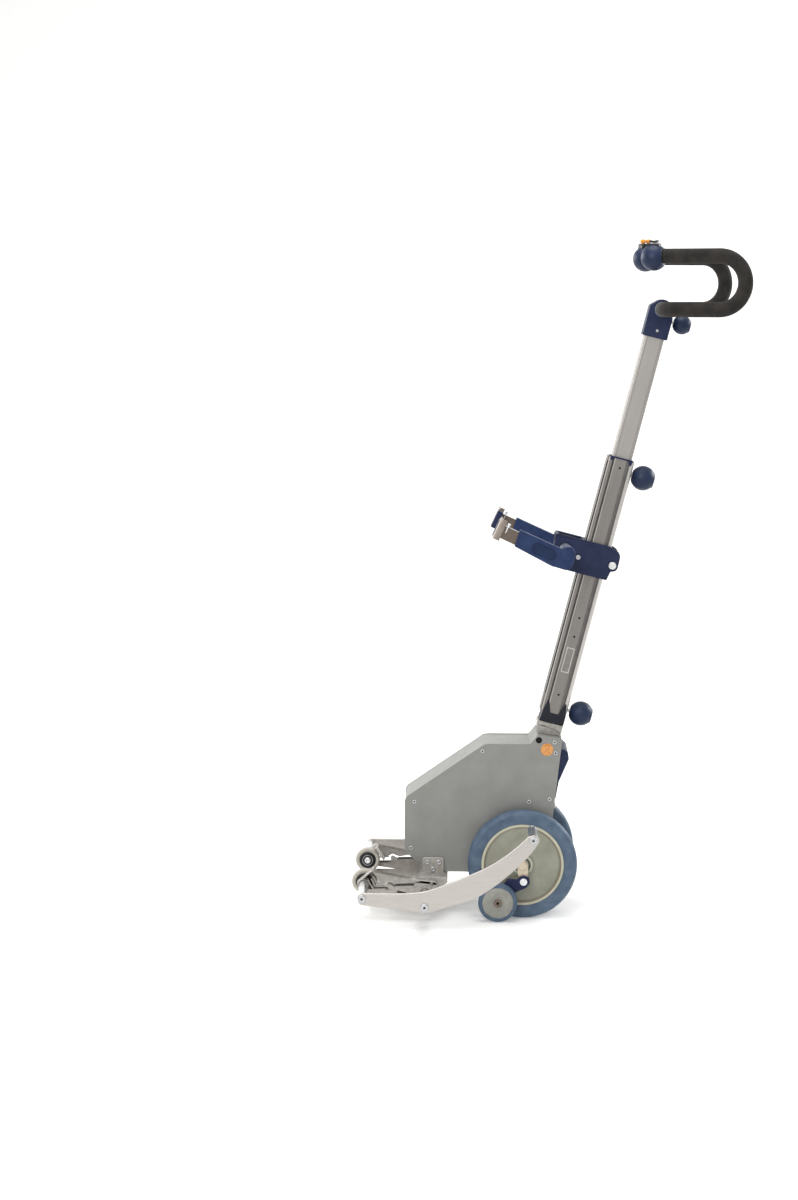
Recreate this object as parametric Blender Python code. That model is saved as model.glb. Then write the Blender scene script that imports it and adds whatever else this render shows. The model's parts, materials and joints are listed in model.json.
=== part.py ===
"""Portable stair climber that carries a wheelchair on a platform between two side plates.

Metres, +Z up. The operator stands at +X and looks towards -X, so left is -Y and right is +Y.
The origin lies on the floor under the middle of the whole machine.
The column has its own frame: t across it (towards the operator), y to the right and s up along it.
"""
import math

import bmesh
import bpy
from mathutils import Matrix, Vector

# General
GAP = 0.0003
AXLE_X = -0.0481

# Main wheels
WHEEL_RADIUS = 0.122
WHEEL_GAP = 0.0075
TYRE_WIDTH = 0.035
TYRE_DEPTH = 0.0295
HUB_RADIUS = 0.0245
HUB_WIDTH = 0.033
WEB_THICKNESS = 0.014
AXLE_RADIUS = 0.010
AXLE_CAP_RADIUS = 0.0145

# Edge brake
LINK_THICKNESS = 0.006
LINK_WIDTH = 0.020
BRAKE_PIVOT_X = 0.002
BRAKE_PIVOT_DROP = 0.0348
BRAKE_PIN_RADIUS = 0.004
BRAKE_ARM_THICKNESS = 0.006
BRAKE_WHEEL_X = -0.0555
BRAKE_WHEEL_RADIUS = 0.0435
BRAKE_WHEEL_WIDTH = 0.019
BRAKE_DISC_RADIUS = 0.0358
BRAKE_EYE_RADIUS = 0.013

# Lifting mechanism
SUPPORT_REACH = 0.048
SUPPORT_RADIUS = 0.040
SUPPORT_WIDTH = 0.020
SUPPORT_HUB_RADIUS = 0.012
CRANK_SHAFT_RADIUS = 0.016
CRANK_ARM_THICKNESS = 0.008
CRANK_ARM_INNER = 0.0245
STUB_RADIUS = 0.006
WELL_CLEARANCE = 0.005
GEARBOX_WIDTH = 0.042
GEARBOX_RADIUS = 0.048
GEARBOX_WALL = 0.004
GEARBOX_TILT = 12.0
WORM_WHEEL_RADIUS = 0.034
WORM_WHEEL_WIDTH = 0.014
WORM_WHEEL_TEETH = 24
WORM_RADIUS = 0.0065
WORM_THREAD = 0.0025
WORM_SHAFT_RADIUS = 0.005
MOTOR_RADIUS = 0.031
MOTOR_LENGTH = 0.086

# Base box
BOX_WIDTH = 0.130
PLATE_THICKNESS = 0.003
SHELL_THICKNESS = 0.002
PLATE_LIP = 0.0015
BATTERY_FRONT = -0.030
BATTERY_REAR = 0.0925
BATTERY_TOP = 0.376
BATTERY_WALL = 0.003
BATTERY_DEEP = 0.024

# Wheelchair platform
PLATFORM_HALF_WIDTH = 0.2605
PLATFORM_PLATE = 0.006
FRONT_TUBE_X = -0.353
FRONT_TUBE_Z = 0.0828
MIDDLE_TUBE_X = -0.2168
MIDDLE_TUBE_Z = 0.0640
REAR_PEG_X = 0.0185
REAR_PEG_Z = 0.2140
REAR_PEG_INNER = 0.1500
TUBE_RADIUS = 0.010
TUBE_WALL = 0.002
TUBE_START = 0.008
TUBE_SEAT = 0.0145
SLEEVE_WALL = 0.0035
PEG_RADIUS = 0.011
PLATFORM_BOLT_RADIUS = 0.004
PLATFORM_BOLT_HEAD = 0.0095
PLATFORM_TRAVEL_IN = 0.005
ARM_THICKNESS = 0.022
LUG_THICKNESS = 0.006
ROLLER_RADIUS = 0.028
ROLLER_WIDTH = 0.022
ROLLER_INSET = 0.0245
ROLLER_CLEARANCE = 0.002
ROLLER_PIN_HEAD = 0.0070
BRIDGE_THICKNESS = 0.005
GUARD_THICKNESS = 0.0045
GUARD_INSET = 0.0205
GUARD_SETBACK = 0.0005

# Column
COLUMN_TILT = 14.4
COLUMN_FOOT_X = 0.0535
COLUMN_FOOT_Z = 0.405
COLUMN_DEPTH = 0.060
COLUMN_OFFSET = 0.0025
COLUMN_WIDTH = 0.055
COLUMN_WALL = 0.0035
COLUMN_BOTTOM = 0.050
COLUMN_TOP = 0.6385
FOOT_BOTTOM = 0.0265
FOOT_EAR_TOP = 0.076
FOOT_SKIN = 0.003
SPIGOT_WIDTH = 0.030
SPIGOT_DEPTH = 0.016
INNER_DEPTH = 0.0445
INNER_WIDTH = 0.040
INNER_WALL = 0.0025
INNER_OFFSET = 0.0036
INNER_BOTTOM = 0.440
INNER_TOP = 0.934
COLLAR_HEIGHT = 0.002
COLLAR_SKIRT = 0.030
KNOB_RADIUS = 0.0275
KNOB_STEM_RADIUS = 0.0035
LOWER_KNOB_T = 0.0650
LOWER_KNOB_S = 0.0600
COLUMN_KNOB_T = 0.0617
COLUMN_KNOB_DROP = 0.0307

# Handles
HEAD_BOTTOM = 0.914
HEAD_WIDTH = 0.050
HEAD_REAR = 0.0315
HEAD_FRONT = -0.0245
HEAD_SHOULDER = 0.981
HEAD_RADIUS = 0.022
HANDLE_T = 0.0035
HANDLE_S = 0.9776
HANDLE_TUBE_RADIUS = 0.011
HANDLE_TUBE_WALL = 0.002
GRIP_RADIUS = 0.0160
GRIP_START = 0.045
HANDLE_SPREAD = 22.4
HANDLE_CORNER = 0.040
HANDLE_CORNER_Y = 0.123
LOOP_RADIUS = 0.057
LOOP_X = 0.4095
BALL_X = 0.2730
BALL_RADIUS = 0.0285
BALL_DROP = 0.0025
LEFT_HOUSING = 0.0275
RIGHT_HOUSING = 0.0315
BUTTON_RADIUS = 0.0060
BUTTON_STEM_RADIUS = 0.0045
BUTTON_STEM = 0.006
BUTTON_HEIGHT = 0.0095
BUTTON_TRAVEL = 0.002
HEAD_KNOB_S = 0.9560
HEAD_KNOB_T = 0.0560
HEAD_KNOB_RADIUS = 0.0212

# Clamp for the wheelchair's back tubes
CARRIAGE_HALF_WIDTH = 0.0360
CARRIAGE_FRONT = -0.0950
CARRIAGE_BOTTOM = 0.3697
CARRIAGE_TOP = 0.4445
CARRIAGE_CLEARANCE = 0.0006
CLAMP_PIN_T = 0.0440
CLAMP_PIN_S = 0.4048
CLAMP_PIN_RADIUS = 0.0088
CLAMP_TUBE_T = -0.0670
CLAMP_TUBE_S = 0.4150
CLAMP_TUBE_RADIUS = 0.0135
CLAMP_TUBE_WALL = 0.002
LEVER_Y = 0.141
LEVER_THICKNESS = 0.018
LEVER_LIFT = 10.5
LEVER_REACH = 0.1165
LEVER_TOP = 0.0050
LEVER_BOTTOM = 0.0350
LEVER_SLEEVE_WALL = 0.003
LEVER_SLEEVE_LENGTH = 0.024
HOOK_BAR_HEIGHT = 0.0300
HOOK_BAR_DROP = 0.0155
HOOK_BAR_THICKNESS = 0.004
HOOK_BAR_START = 0.052
HOOK_SLIDE_IN = 0.030
HOOK_JAW_FACE = 0.159
HOOK_JAW_HEIGHT = 0.0470
HOOK_JAW_DROP = 0.0135
HOOK_JAW_WIDTH = 0.015
HOOK_JAW_DEPTH = 0.044
HOOK_SHEET = 0.004
HOOK_PAD_THICKNESS = 0.008
HOOK_PAD_SKIN = 0.001
HOOK_PAD_HEIGHT = 0.041
HOOK_PAD_WIDTH = 0.026
HOOK_PAD_OVERHANG = 0.014

ROUND_STEPS = 24
WHEEL_STEPS = 36
SMALL_STEPS = 20
PIN_STEPS = 14


def half_track():
    return BOX_WIDTH / 2 + WHEEL_GAP + TYRE_WIDTH / 2


def brake_pivot():
    return BRAKE_PIVOT_X, WHEEL_RADIUS - BRAKE_PIVOT_DROP


def crank_radius():
    """From the main axle to a support wheel that stands on the floor behind it."""
    return math.hypot(SUPPORT_REACH, WHEEL_RADIUS - SUPPORT_RADIUS)


def well_radius():
    return crank_radius() + SUPPORT_RADIUS + WELL_CLEARANCE


def srgb(hex_colour):
    """A colour written as sRGB hex, as the linear values that a shader takes."""
    channels = [int(hex_colour[i:i + 2], 16) / 255 for i in (0, 2, 4)]
    linear = [c / 12.92 if c <= 0.04045 else ((c + 0.055) / 1.055) ** 2.4 for c in channels]
    return (*linear, 1.0)


def material(name, hex_colour, roughness, metallic=0.0):
    made = bpy.data.materials.new(name)
    made.use_nodes = True
    shader = made.node_tree.nodes["Principled BSDF"]
    shader.inputs["Base Color"].default_value = srgb(hex_colour)
    shader.inputs["Roughness"].default_value = roughness
    shader.inputs["Metallic"].default_value = metallic
    return made


def clear_scene():
    for old in list(bpy.data.objects):
        bpy.data.objects.remove(old, do_unlink=True)


def frame(name, parent=None, at=(0, 0, 0), tilt=0.0):
    """An empty that carries pieces; tilt leans it from +Z towards +X, in degrees."""
    empty = bpy.data.objects.new(name, None)
    bpy.context.collection.objects.link(empty)
    empty.parent = parent
    empty.location = at
    empty.rotation_euler = (0, math.radians(tilt), 0)
    return empty


def piece(name, bm, mat, parent, at=(0, 0, 0), smooth=35.0):
    """Turns a bmesh into the named object, with sharp edges kept where faces meet steeply."""
    bmesh.ops.recalc_face_normals(bm, faces=bm.faces)
    mesh = bpy.data.meshes.new(name)
    bm.to_mesh(mesh)
    bm.free()
    mesh.shade_smooth()
    mesh.set_sharp_from_angle(angle=math.radians(smooth))
    if mat is not None:
        mesh.materials.append(mat)
    made = bpy.data.objects.new(name, mesh)
    bpy.context.collection.objects.link(made)
    made.parent = parent
    made.location = at
    return made


def cutter(name, bm, parent, at=(0, 0, 0)):
    made = piece(name, bm, None, parent, at)
    made.hide_render = True
    made.display_type = "WIRE"
    return made


def cut(target, tool):
    change = target.modifiers.new("cut " + tool.name, "BOOLEAN")
    change.operation = "DIFFERENCE"
    change.solver = "EXACT"
    change.object = tool


def join(target, tool):
    change = target.modifiers.new("join " + tool.name, "BOOLEAN")
    change.operation = "UNION"
    change.solver = "EXACT"
    change.object = tool


def rounded(corners, steps=3):
    """An outline from corners (u, v, radius); each radius becomes an arc of a few steps."""
    points = []
    for i, (u, v, radius) in enumerate(corners):
        here = Vector((u, v))
        if radius <= 0:
            points.append((u, v))
            continue
        before = Vector(corners[i - 1][:2]) - here
        after = Vector(corners[(i + 1) % len(corners)][:2]) - here
        half = before.angle(after) / 2
        reach = radius / math.tan(half)
        centre = here + (before.normalized() + after.normalized()).normalized() * (radius / math.sin(half))
        start = here + before.normalized() * reach - centre
        end = here + after.normalized() * reach - centre
        turn = math.atan2(start.cross(end), start.dot(end))
        for k in range(steps + 1):
            angle = turn * k / steps
            spoke = Matrix.Rotation(angle, 2) @ start
            points.append((centre.x + spoke.x, centre.y + spoke.y))
    return points


def thick_line(points, thickness):
    """The closed outline of a folded sheet: a line, and its copy to the left with mitred corners."""
    copy = []
    for i, point in enumerate(points):
        here = Vector(point)
        sides = [here - Vector(other) for other in points[max(i - 1, 0):i]]
        sides += [Vector(other) - here for other in points[i + 1:i + 2]]
        normals = [Vector((-way.y, way.x)).normalized() for way in sides]
        mitre = sum(normals, Vector((0, 0))).normalized()
        copy.append(here + mitre * thickness / mitre.dot(normals[0]))
    return [*points, *[(p.x, p.y) for p in reversed(copy)]]


def circle(u, v, radius, steps=12):
    return [(u + radius * math.cos(2 * math.pi * k / steps), v + radius * math.sin(2 * math.pi * k / steps))
            for k in range(steps)]


def rectangle(u0, v0, u1, v1):
    return [(u0, v0), (u1, v0), (u1, v1), (u0, v1)]


def placed(axis, u, v, depth):
    """A point of an outline at a depth along the axis that the outline is extruded on."""
    return {"X": (depth, u, v), "Y": (u, depth, v), "Z": (u, v, depth)}[axis]


def extrude_outline(bm, outline, holes, axis, start, end):
    edges = []
    for loop in [outline, *holes]:
        verts = [bm.verts.new(placed(axis, u, v, start)) for u, v in loop]
        edges += [bm.edges.new((verts[i - 1], verts[i])) for i in range(len(verts))]
    filled = bmesh.ops.triangle_fill(bm, use_beauty=True, use_dissolve=False, edges=edges)
    faces = [g for g in filled["geom"] if isinstance(g, bmesh.types.BMFace)]
    grown = bmesh.ops.extrude_face_region(bm, geom=faces, use_keep_orig=True)
    moved = [g for g in grown["geom"] if isinstance(g, bmesh.types.BMVert)]
    bmesh.ops.translate(bm, vec=Vector(placed(axis, 0, 0, end - start)), verts=moved)


def prism(outline, start, end, axis="Y", holes=()):
    """A flat outline, with holes, extruded between two depths."""
    bm = bmesh.new()
    extrude_outline(bm, outline, list(holes), axis, start, end)
    return bm


def turned(profile, steps, axis="Y", centre=(0, 0, 0)):
    """A turned solid from (radius, height) points.

    A profile that starts and ends on the axis is left open there; any other one is a closed ring.
    """
    bm = bmesh.new()
    across = {"X": Vector((0, 1, 0)), "Y": Vector((1, 0, 0)), "Z": Vector((1, 0, 0))}[axis]
    along = {"X": Vector((1, 0, 0)), "Y": Vector((0, 1, 0)), "Z": Vector((0, 0, 1))}[axis]
    verts = [bm.verts.new(across * r + along * h + Vector(centre)) for r, h in profile]
    pairs = list(zip(verts, verts[1:]))
    if profile[0][0] > 0:
        pairs.append((verts[-1], verts[0]))
    edges = [bm.edges.new(pair) for pair in pairs]
    bmesh.ops.spin(bm, geom=verts + edges, axis=along, cent=centre, angle=2 * math.pi, steps=steps,
                   use_merge=True)
    bmesh.ops.remove_doubles(bm, verts=bm.verts, dist=1e-6)
    return bm


def rod(radius, start, end, steps=12, axis="Y", centre=(0, 0, 0)):
    return turned([(0, start), (radius, start), (radius, end), (0, end)], steps, axis, centre)


def pipe(radius, wall, start, end, steps=16, axis="Y", centre=(0, 0, 0)):
    inner = radius - wall
    return turned([(inner, start), (radius, start), (radius, end), (inner, end)], steps, axis, centre)


def merged(*meshes):
    """Several separate bodies in one bmesh."""
    whole = bmesh.new()
    for bm in meshes:
        mesh = bpy.data.meshes.new("body")
        bmesh.ops.recalc_face_normals(bm, faces=bm.faces)
        bm.to_mesh(mesh)
        bm.free()
        whole.from_mesh(mesh)
        bpy.data.meshes.remove(mesh)
    return whole


def swept(path, outer, wall, sides):
    """A bent pipe along a smooth route of points, open at both ends."""
    bm = bmesh.new()
    inner = outer - wall
    up = Vector((0, 0, 1)).cross((path[1] - path[0]).normalized())
    if up.length < 0.1:
        up = Vector((1, 0, 0))
    rings = []
    for i, point in enumerate(path):
        ahead = path[min(i + 1, len(path) - 1)] - path[max(i - 1, 0)]
        along = ahead.normalized()
        up = (up - along * up.dot(along)).normalized()
        side = along.cross(up)
        ring = []
        for radius in (outer, inner):
            ring.append([bm.verts.new(point + (up * math.cos(2 * math.pi * k / sides)
                                               + side * math.sin(2 * math.pi * k / sides)) * radius)
                         for k in range(sides)])
        rings.append(ring)
    for k in range(sides):
        after = (k + 1) % sides
        for near, far in zip(rings, rings[1:]):
            bm.faces.new((near[0][k], near[0][after], far[0][after], far[0][k]))
            bm.faces.new((near[1][after], near[1][k], far[1][k], far[1][after]))
        for ring in (rings[0], rings[-1]):
            bm.faces.new((ring[0][k], ring[0][after], ring[1][after], ring[1][k]))
    return bm


def arc(centre, start, axis, degrees, steps):
    """Points of an arc: start turned about an axis through the centre."""
    return [centre + Matrix.Rotation(math.radians(degrees) * k / steps, 3, axis) @ (start - centre)
            for k in range(steps + 1)]


SIDES = {"left": -1, "right": 1}


# Materials
def make_materials():
    return {
        "sheet": material("Grey painted sheet", "8E8B87", 0.5, 0.3),
        "dark sheet": material("Dark grey sheet", "55555A", 0.6, 0.2),
        "anodised": material("Anodised aluminium", "A8A5A1", 0.4, 0.9),
        "silver": material("Silver anodised plate", "D2C9C2", 0.4, 0.7),
        "cast": material("Cast aluminium", "A39D95", 0.6, 0.6),
        "navy": material("Dark blue plastic", "26305A", 0.45),
        "blue": material("Blue plastic", "2C4580", 0.45),
        "foam": material("Black foam rubber", "2F2D2B", 0.85),
        "tyre": material("Blue grey rubber", "55708F", 0.7),
        "disc": material("Olive grey plastic", "9DA08E", 0.5),
        "roller": material("Off white polyurethane", "C9C5B8", 0.5),
        "steel": material("Bright steel", "B8B8BA", 0.3, 1.0),
        "link": material("Beige painted steel", "C4B4A0", 0.5),
        "black": material("Black plastic", "1C1C1E", 0.5),
        "orange": material("Orange rubber", "E0882F", 0.6),
        "grey": material("Grey plastic", "7E8484", 0.5),
        "board": material("Potted electronics", "2A3A33", 0.6),
        "bronze": material("Bronze", "A67A3C", 0.4, 0.9),
    }


# Base box
def plate_outline():
    """The side plate: shoulder and sloping front of the box, and a lobe that carries the axle."""
    return rounded([
        (0.0320, 0.4085, 0.005), (0.0165, 0.3885, 0.006), (-0.0850, 0.3885, 0.030),
        (-0.2640, 0.2650, 0.020), (-0.2640, 0.1420, 0.020), (-0.2080, 0.0960, 0.015),
        (-0.1300, 0.0960, 0.020), (-0.0350, 0.0880, 0.020), (0.0350, 0.0880, 0.020),
        (0.0600, 0.1540, 0.020), (0.0884, 0.4004, 0.009),
    ])


def shell_route():
    """The folded sheet's outer line, from the rear top round the front to the rear of the well."""
    top_rear = (0.0868, 0.3992)
    lip = PLATE_LIP
    points = [
        top_rear, (0.0318, 0.4070), (0.0160, 0.3885 - lip), (-0.0780, 0.3885 - lip),
        (-0.1050, 0.3735 - lip), (-0.2500, 0.2735 - lip), (-0.2640 + lip, 0.2520),
        (-0.2640 + lip, 0.1510), (-0.2560, 0.1360 + lip), (-0.2080, 0.0960 + lip),
    ]
    radius = well_radius()
    start = math.pi - math.asin((0.0960 + lip - WHEEL_RADIUS) / radius)
    end = math.radians(58.0)
    steps = 14
    points += [(radius * math.cos(start + (end - start) * k / steps),
                WHEEL_RADIUS + radius * math.sin(start + (end - start) * k / steps))
               for k in range(steps + 1)]
    return points


def base_shell(base, drive, mats):
    """One folded sheet, open at the rear where the battery slides in, with a slot for the gearbox."""
    half = BOX_WIDTH / 2 - PLATE_THICKNESS - GAP
    shell = piece("base_shell", prism(thick_line(shell_route(), SHELL_THICKNESS), -half, half),
                  mats["sheet"], base)
    low, high, reach = neck_span()
    room = GEARBOX_WIDTH / 2 + 0.002
    slot = prism(rectangle(-reach - 0.015, low - 0.002, -reach + 0.025, high + 0.002), -room, room)
    cut(shell, cutter("neck slot", slot, drive))


def side_plates(base, mats):
    outer = BOX_WIDTH / 2
    for side, sign in SIDES.items():
        holes = [circle(0, WHEEL_RADIUS, AXLE_RADIUS + GAP, 16), circle(0.0359, 0.3970, 0.007, 12)]
        span = sorted((sign * outer, sign * (outer - PLATE_THICKNESS)))
        bm = prism(plate_outline(), *span, holes=holes)
        piece("side_plate_" + side, bm, mats["sheet"], base)


def top_line(x):
    """Height of the box's sloping top at the rear, where the column's bracket stands."""
    (x0, z0), (x1, z1) = shell_route()[1], shell_route()[0]
    return z0 + (z1 - z0) * (x - x0) / (x1 - x0)


def column_point(t, s):
    """Base coordinates (x, z) of a point of the column's frame."""
    tilt = math.radians(COLUMN_TILT)
    return (COLUMN_FOOT_X + t * math.cos(tilt) + s * math.sin(tilt),
            COLUMN_FOOT_Z - t * math.sin(tilt) + s * math.cos(tilt))


def foot_bracket(base, mats):
    """Layered casting between the box's top and the column's foot, with a pocket for its spigot."""
    seat = FOOT_BOTTOM - GAP
    left_top = column_point(-0.0265, seat)
    right_top = column_point(0.0320, seat)
    x0 = 0.0345
    x1 = 0.0845
    outline = rounded([
        (x0, top_line(x0) + GAP, 0.002), (left_top[0], left_top[1] - 0.012, 0.004),
        (left_top[0], left_top[1], 0.002), (right_top[0], right_top[1], 0.002),
        (right_top[0] - 0.002, right_top[1] - 0.012, 0.004), (x1, top_line(x1) + GAP, 0.002),
    ])
    made = piece("foot_bracket", prism(outline, -0.029, 0.029), mats["cast"], base)
    half = SPIGOT_WIDTH / 2 + GAP
    pocket = prism(rectangle(-half + 0.003, -half, half + 0.003, half),
                   FOOT_BOTTOM - SPIGOT_DEPTH - 0.001, FOOT_BOTTOM + 0.01, axis="Z")
    tilted = frame("pocket frame", base, (COLUMN_FOOT_X, 0, COLUMN_FOOT_Z), COLUMN_TILT)
    cut(made, cutter("spigot pocket", pocket, tilted))


# Main wheels
def link_face():
    return half_track() + TYRE_WIDTH / 2 + 0.002


def main_axle(base, mats):
    end = link_face() + LINK_THICKNESS + GAP
    cap = AXLE_CAP_RADIUS
    half = [(0, end + 0.005), (cap - 0.003, end + 0.005), (cap, end + 0.003), (cap, end), (AXLE_RADIUS, end)]
    profile = [(r, -y) for r, y in half] + [(r, y) for r, y in reversed(half)]
    piece("main_axle", turned(profile, PIN_STEPS), mats["steel"], base, (0, 0, WHEEL_RADIUS))


def main_wheel(side, sign, base, mats):
    """A disc with its bearing, a dished web, and its tyre, turning about the main axle."""
    hub = frame("main wheel " + side, base, (0, sign * half_track(), WHEEL_RADIUS))
    rim = WHEEL_RADIUS - TYRE_DEPTH
    half = TYRE_WIDTH / 2
    face = -HUB_WIDTH / 2
    web = WEB_THICKNESS / 2
    disc = [(AXLE_RADIUS + GAP, face), (HUB_RADIUS, face), (HUB_RADIUS + 0.002, -web),
            (rim - 0.0085, -web), (rim - 0.006, -half + 0.003), (rim - GAP, -half + 0.003)]
    disc += [(r, -y) for r, y in reversed(disc)]
    piece("wheel_disc_" + side, turned(disc, WHEEL_STEPS), mats["disc"], hub)
    tyre = [(rim, -half + 0.002), (rim + 0.008, -half), (WHEEL_RADIUS - 0.008, -half + 0.0005),
            (WHEEL_RADIUS - 0.002, -half + 0.005), (WHEEL_RADIUS, -half + 0.011)]
    tyre += [(r, -y) for r, y in reversed(tyre)]
    piece("main_tyre_" + side, turned(tyre, WHEEL_STEPS), mats["tyre"], hub)


# Edge brake
def slant(x0, z0, x1, z1):
    return math.hypot(x1 - x0, z1 - z0), math.atan2(z1 - z0, x1 - x0)


def bar_outline(start, end, start_radius, end_radius, steps=6):
    """A flat bar with round ends of two sizes, between two centres."""
    length, angle = slant(*start, *end)
    lean = math.acos((start_radius - end_radius) / length)
    points = []
    for k in range(steps + 1):
        a = angle + lean + (2 * math.pi - 2 * lean) * k / steps
        points.append((start[0] + start_radius * math.cos(a), start[1] + start_radius * math.sin(a)))
    for k in range(steps + 1):
        a = angle - lean + 2 * lean * k / steps
        points.append((end[0] + end_radius * math.cos(a), end[1] + end_radius * math.sin(a)))
    return points


def brake_link(side, sign, base, mats):
    """The beige link on the axle's end, with the pin that the brake arm turns on."""
    start = (0.0, WHEEL_RADIUS)
    end = brake_pivot()
    outline = bar_outline(start, end, 0.014, LINK_WIDTH / 2)
    near = link_face()
    far = near + LINK_THICKNESS
    holes = [circle(*start, AXLE_RADIUS + GAP, 16)]
    link = piece("brake_link_" + side, prism(outline, *sorted((sign * near, sign * far)), holes=holes),
                 mats["link"], base)
    head = far + BRAKE_ARM_THICKNESS + 2 * GAP
    pin = [(0, (near + far) / 2), (BRAKE_PIN_RADIUS, (near + far) / 2), (BRAKE_PIN_RADIUS, head),
           (BRAKE_PIN_RADIUS + 0.003, head), (BRAKE_PIN_RADIUS + 0.003, head + 0.0015),
           (0, head + 0.0025)]
    tool = turned([(r, sign * y) for r, y in pin], 12, centre=(end[0], 0, end[1]))
    join(link, cutter("brake pin " + side, tool, base))


def brake_arm_outline(wheel_at):
    """A plate from the pivot's eye, with a shoulder over the small wheel, to the wheel's stub."""
    x, z = wheel_at
    eye = BRAKE_EYE_RADIUS
    return rounded([
        (0.0062, -0.0136, 0.004), (eye + 0.001, -0.0030, 0.006), (eye, 0.0100, 0.008),
        (0, eye + 0.0015, 0.008), (-0.0105, 0.0100, 0.004), (-0.0130, 0.0056, 0.002),
        (-0.0360, 0.0070, 0.003), (-0.0395, 0.0010, 0.003), (x - 0.0130, z + 0.0040, 0.008),
        (x - 0.0110, z - 0.0120, 0.010), (x + 0.0100, z - 0.0140, 0.010), (-0.0170, -0.0235, 0.010),
    ], 2)


def brake_arm(side, sign, base, mats):
    """The dark blue arm and the small wheel at its end; at rest both stand on the floor."""
    pivot_x, pivot_z = brake_pivot()
    pivot = frame("brake pivot " + side, base, (pivot_x, 0, pivot_z))
    wheel_at = (BRAKE_WHEEL_X - pivot_x, BRAKE_WHEEL_RADIUS - pivot_z)
    near = link_face() + LINK_THICKNESS + GAP
    far = near + BRAKE_ARM_THICKNESS
    holes = [circle(0, 0, BRAKE_PIN_RADIUS + GAP, 12)]
    plate = prism(brake_arm_outline(wheel_at), *sorted((sign * near, sign * far)), holes=holes)
    arm = piece("brake_arm_" + side, plate, mats["navy"], pivot)
    start = far + 2 * GAP
    end = start + BRAKE_WHEEL_WIDTH
    stub = [(0, (near + far) / 2), (STUB_RADIUS, (near + far) / 2), (STUB_RADIUS, end + GAP),
            (0.0095, end + GAP), (0.0095, end + 0.003), (0, end + 0.003)]
    tool = turned([(r, sign * y) for r, y in stub], 12, centre=(wheel_at[0], 0, wheel_at[1]))
    join(arm, cutter("brake stub " + side, tool, pivot))
    wheel = frame("brake wheel " + side, pivot, (wheel_at[0], sign * (start + end) / 2, wheel_at[1]))
    half = BRAKE_WHEEL_WIDTH / 2
    face = -half + 0.0025
    shape = [(STUB_RADIUS + GAP, -half), (0.013, -half), (0.015, face), (BRAKE_DISC_RADIUS - 0.0015, face),
             (BRAKE_DISC_RADIUS, -half), (BRAKE_WHEEL_RADIUS, -half + 0.002)]
    shape += [(r, -y) for r, y in reversed(shape)]
    piece("brake_wheel_" + side, turned(shape, SMALL_STEPS), mats["tyre"], wheel)


# Lifting mechanism
def support_place():
    """Where the support wheels stand on the floor behind the axle, from the axle (x, z)."""
    return SUPPORT_REACH, SUPPORT_RADIUS - WHEEL_RADIUS


def lift_crank(base, mats):
    """A hollow shaft round the axle with two arms and a stub axle on each."""
    crank = frame("crank", base, (0, 0, WHEEL_RADIUS))
    wheel_at = support_place()
    inner = CRANK_ARM_INNER
    outer = inner + CRANK_ARM_THICKNESS
    bore = AXLE_RADIUS + GAP
    shaft = pipe(CRANK_SHAFT_RADIUS, CRANK_SHAFT_RADIUS - bore, -inner - 0.002, inner + 0.002, PIN_STEPS)
    body = piece("lift_crank", shaft, mats["steel"], crank)
    stub_end = outer + GAP + SUPPORT_WIDTH + GAP
    eye = (bore + CRANK_SHAFT_RADIUS) / 2
    for side, sign in SIDES.items():
        arm = prism(bar_outline((0, 0), wheel_at, 0.024, 0.013), *sorted((sign * inner, sign * outer)),
                    holes=[circle(0, 0, eye, PIN_STEPS)])
        join(body, cutter("crank arm " + side, arm, crank))
        stub = [(0, inner + 0.002), (STUB_RADIUS, inner + 0.002), (STUB_RADIUS, stub_end),
                (0.009, stub_end), (0.009, stub_end + 0.002), (0, stub_end + 0.002)]
        pin = turned([(r, sign * y) for r, y in stub], 12, centre=(wheel_at[0], 0, wheel_at[1]))
        join(body, cutter("support stub " + side, pin, crank))
        middle = sign * (outer + GAP + SUPPORT_WIDTH / 2)
        wheel = frame("support wheel " + side, crank, (wheel_at[0], middle, wheel_at[1]))
        half = SUPPORT_WIDTH / 2
        tread = [(STUB_RADIUS + GAP, -half), (SUPPORT_HUB_RADIUS, -half),
                 (SUPPORT_HUB_RADIUS + 0.002, -half + 0.003), (SUPPORT_RADIUS - 0.008, -half + 0.003),
                 (SUPPORT_RADIUS, -half + 0.001)]
        tread += [(r, -y) for r, y in reversed(tread)]
        piece("support_wheel_" + side, turned(tread, SMALL_STEPS), mats["tyre"], wheel)
    return crank


def gear_outline(root, tip, teeth):
    """A spur outline: each tooth is a trapezoid on the root circle."""
    points = []
    for k in range(teeth):
        for share, radius in ((-0.30, root), (-0.12, tip), (0.12, tip), (0.30, root)):
            a = 2 * math.pi * (k + share) / teeth
            points.append((radius * math.cos(a), radius * math.sin(a)))
    return points


def worm_distance():
    return WORM_WHEEL_RADIUS + WORM_RADIUS + WORM_THREAD + 0.0006


def worm_wheel(crank, mats):
    bm = prism(gear_outline(WORM_WHEEL_RADIUS - 0.0022, WORM_WHEEL_RADIUS, WORM_WHEEL_TEETH),
               -WORM_WHEEL_WIDTH / 2, WORM_WHEEL_WIDTH / 2,
               holes=[circle(0, 0, CRANK_SHAFT_RADIUS + GAP, PIN_STEPS)])
    piece("worm_wheel", bm, mats["bronze"], crank)


def drive_frame(name, base):
    """The gearbox's own frame: -X runs along its neck to the motor, tilted up from level."""
    return frame(name, base, (0, 0, WHEEL_RADIUS), GEARBOX_TILT)


def neck_span():
    """The gearbox neck's lower and upper edge and its end, from the main axle."""
    middle = worm_distance()
    half = WORM_RADIUS + WORM_THREAD + 0.002 + GEARBOX_WALL
    return middle - half, middle + half, well_radius() + 0.003


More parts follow.
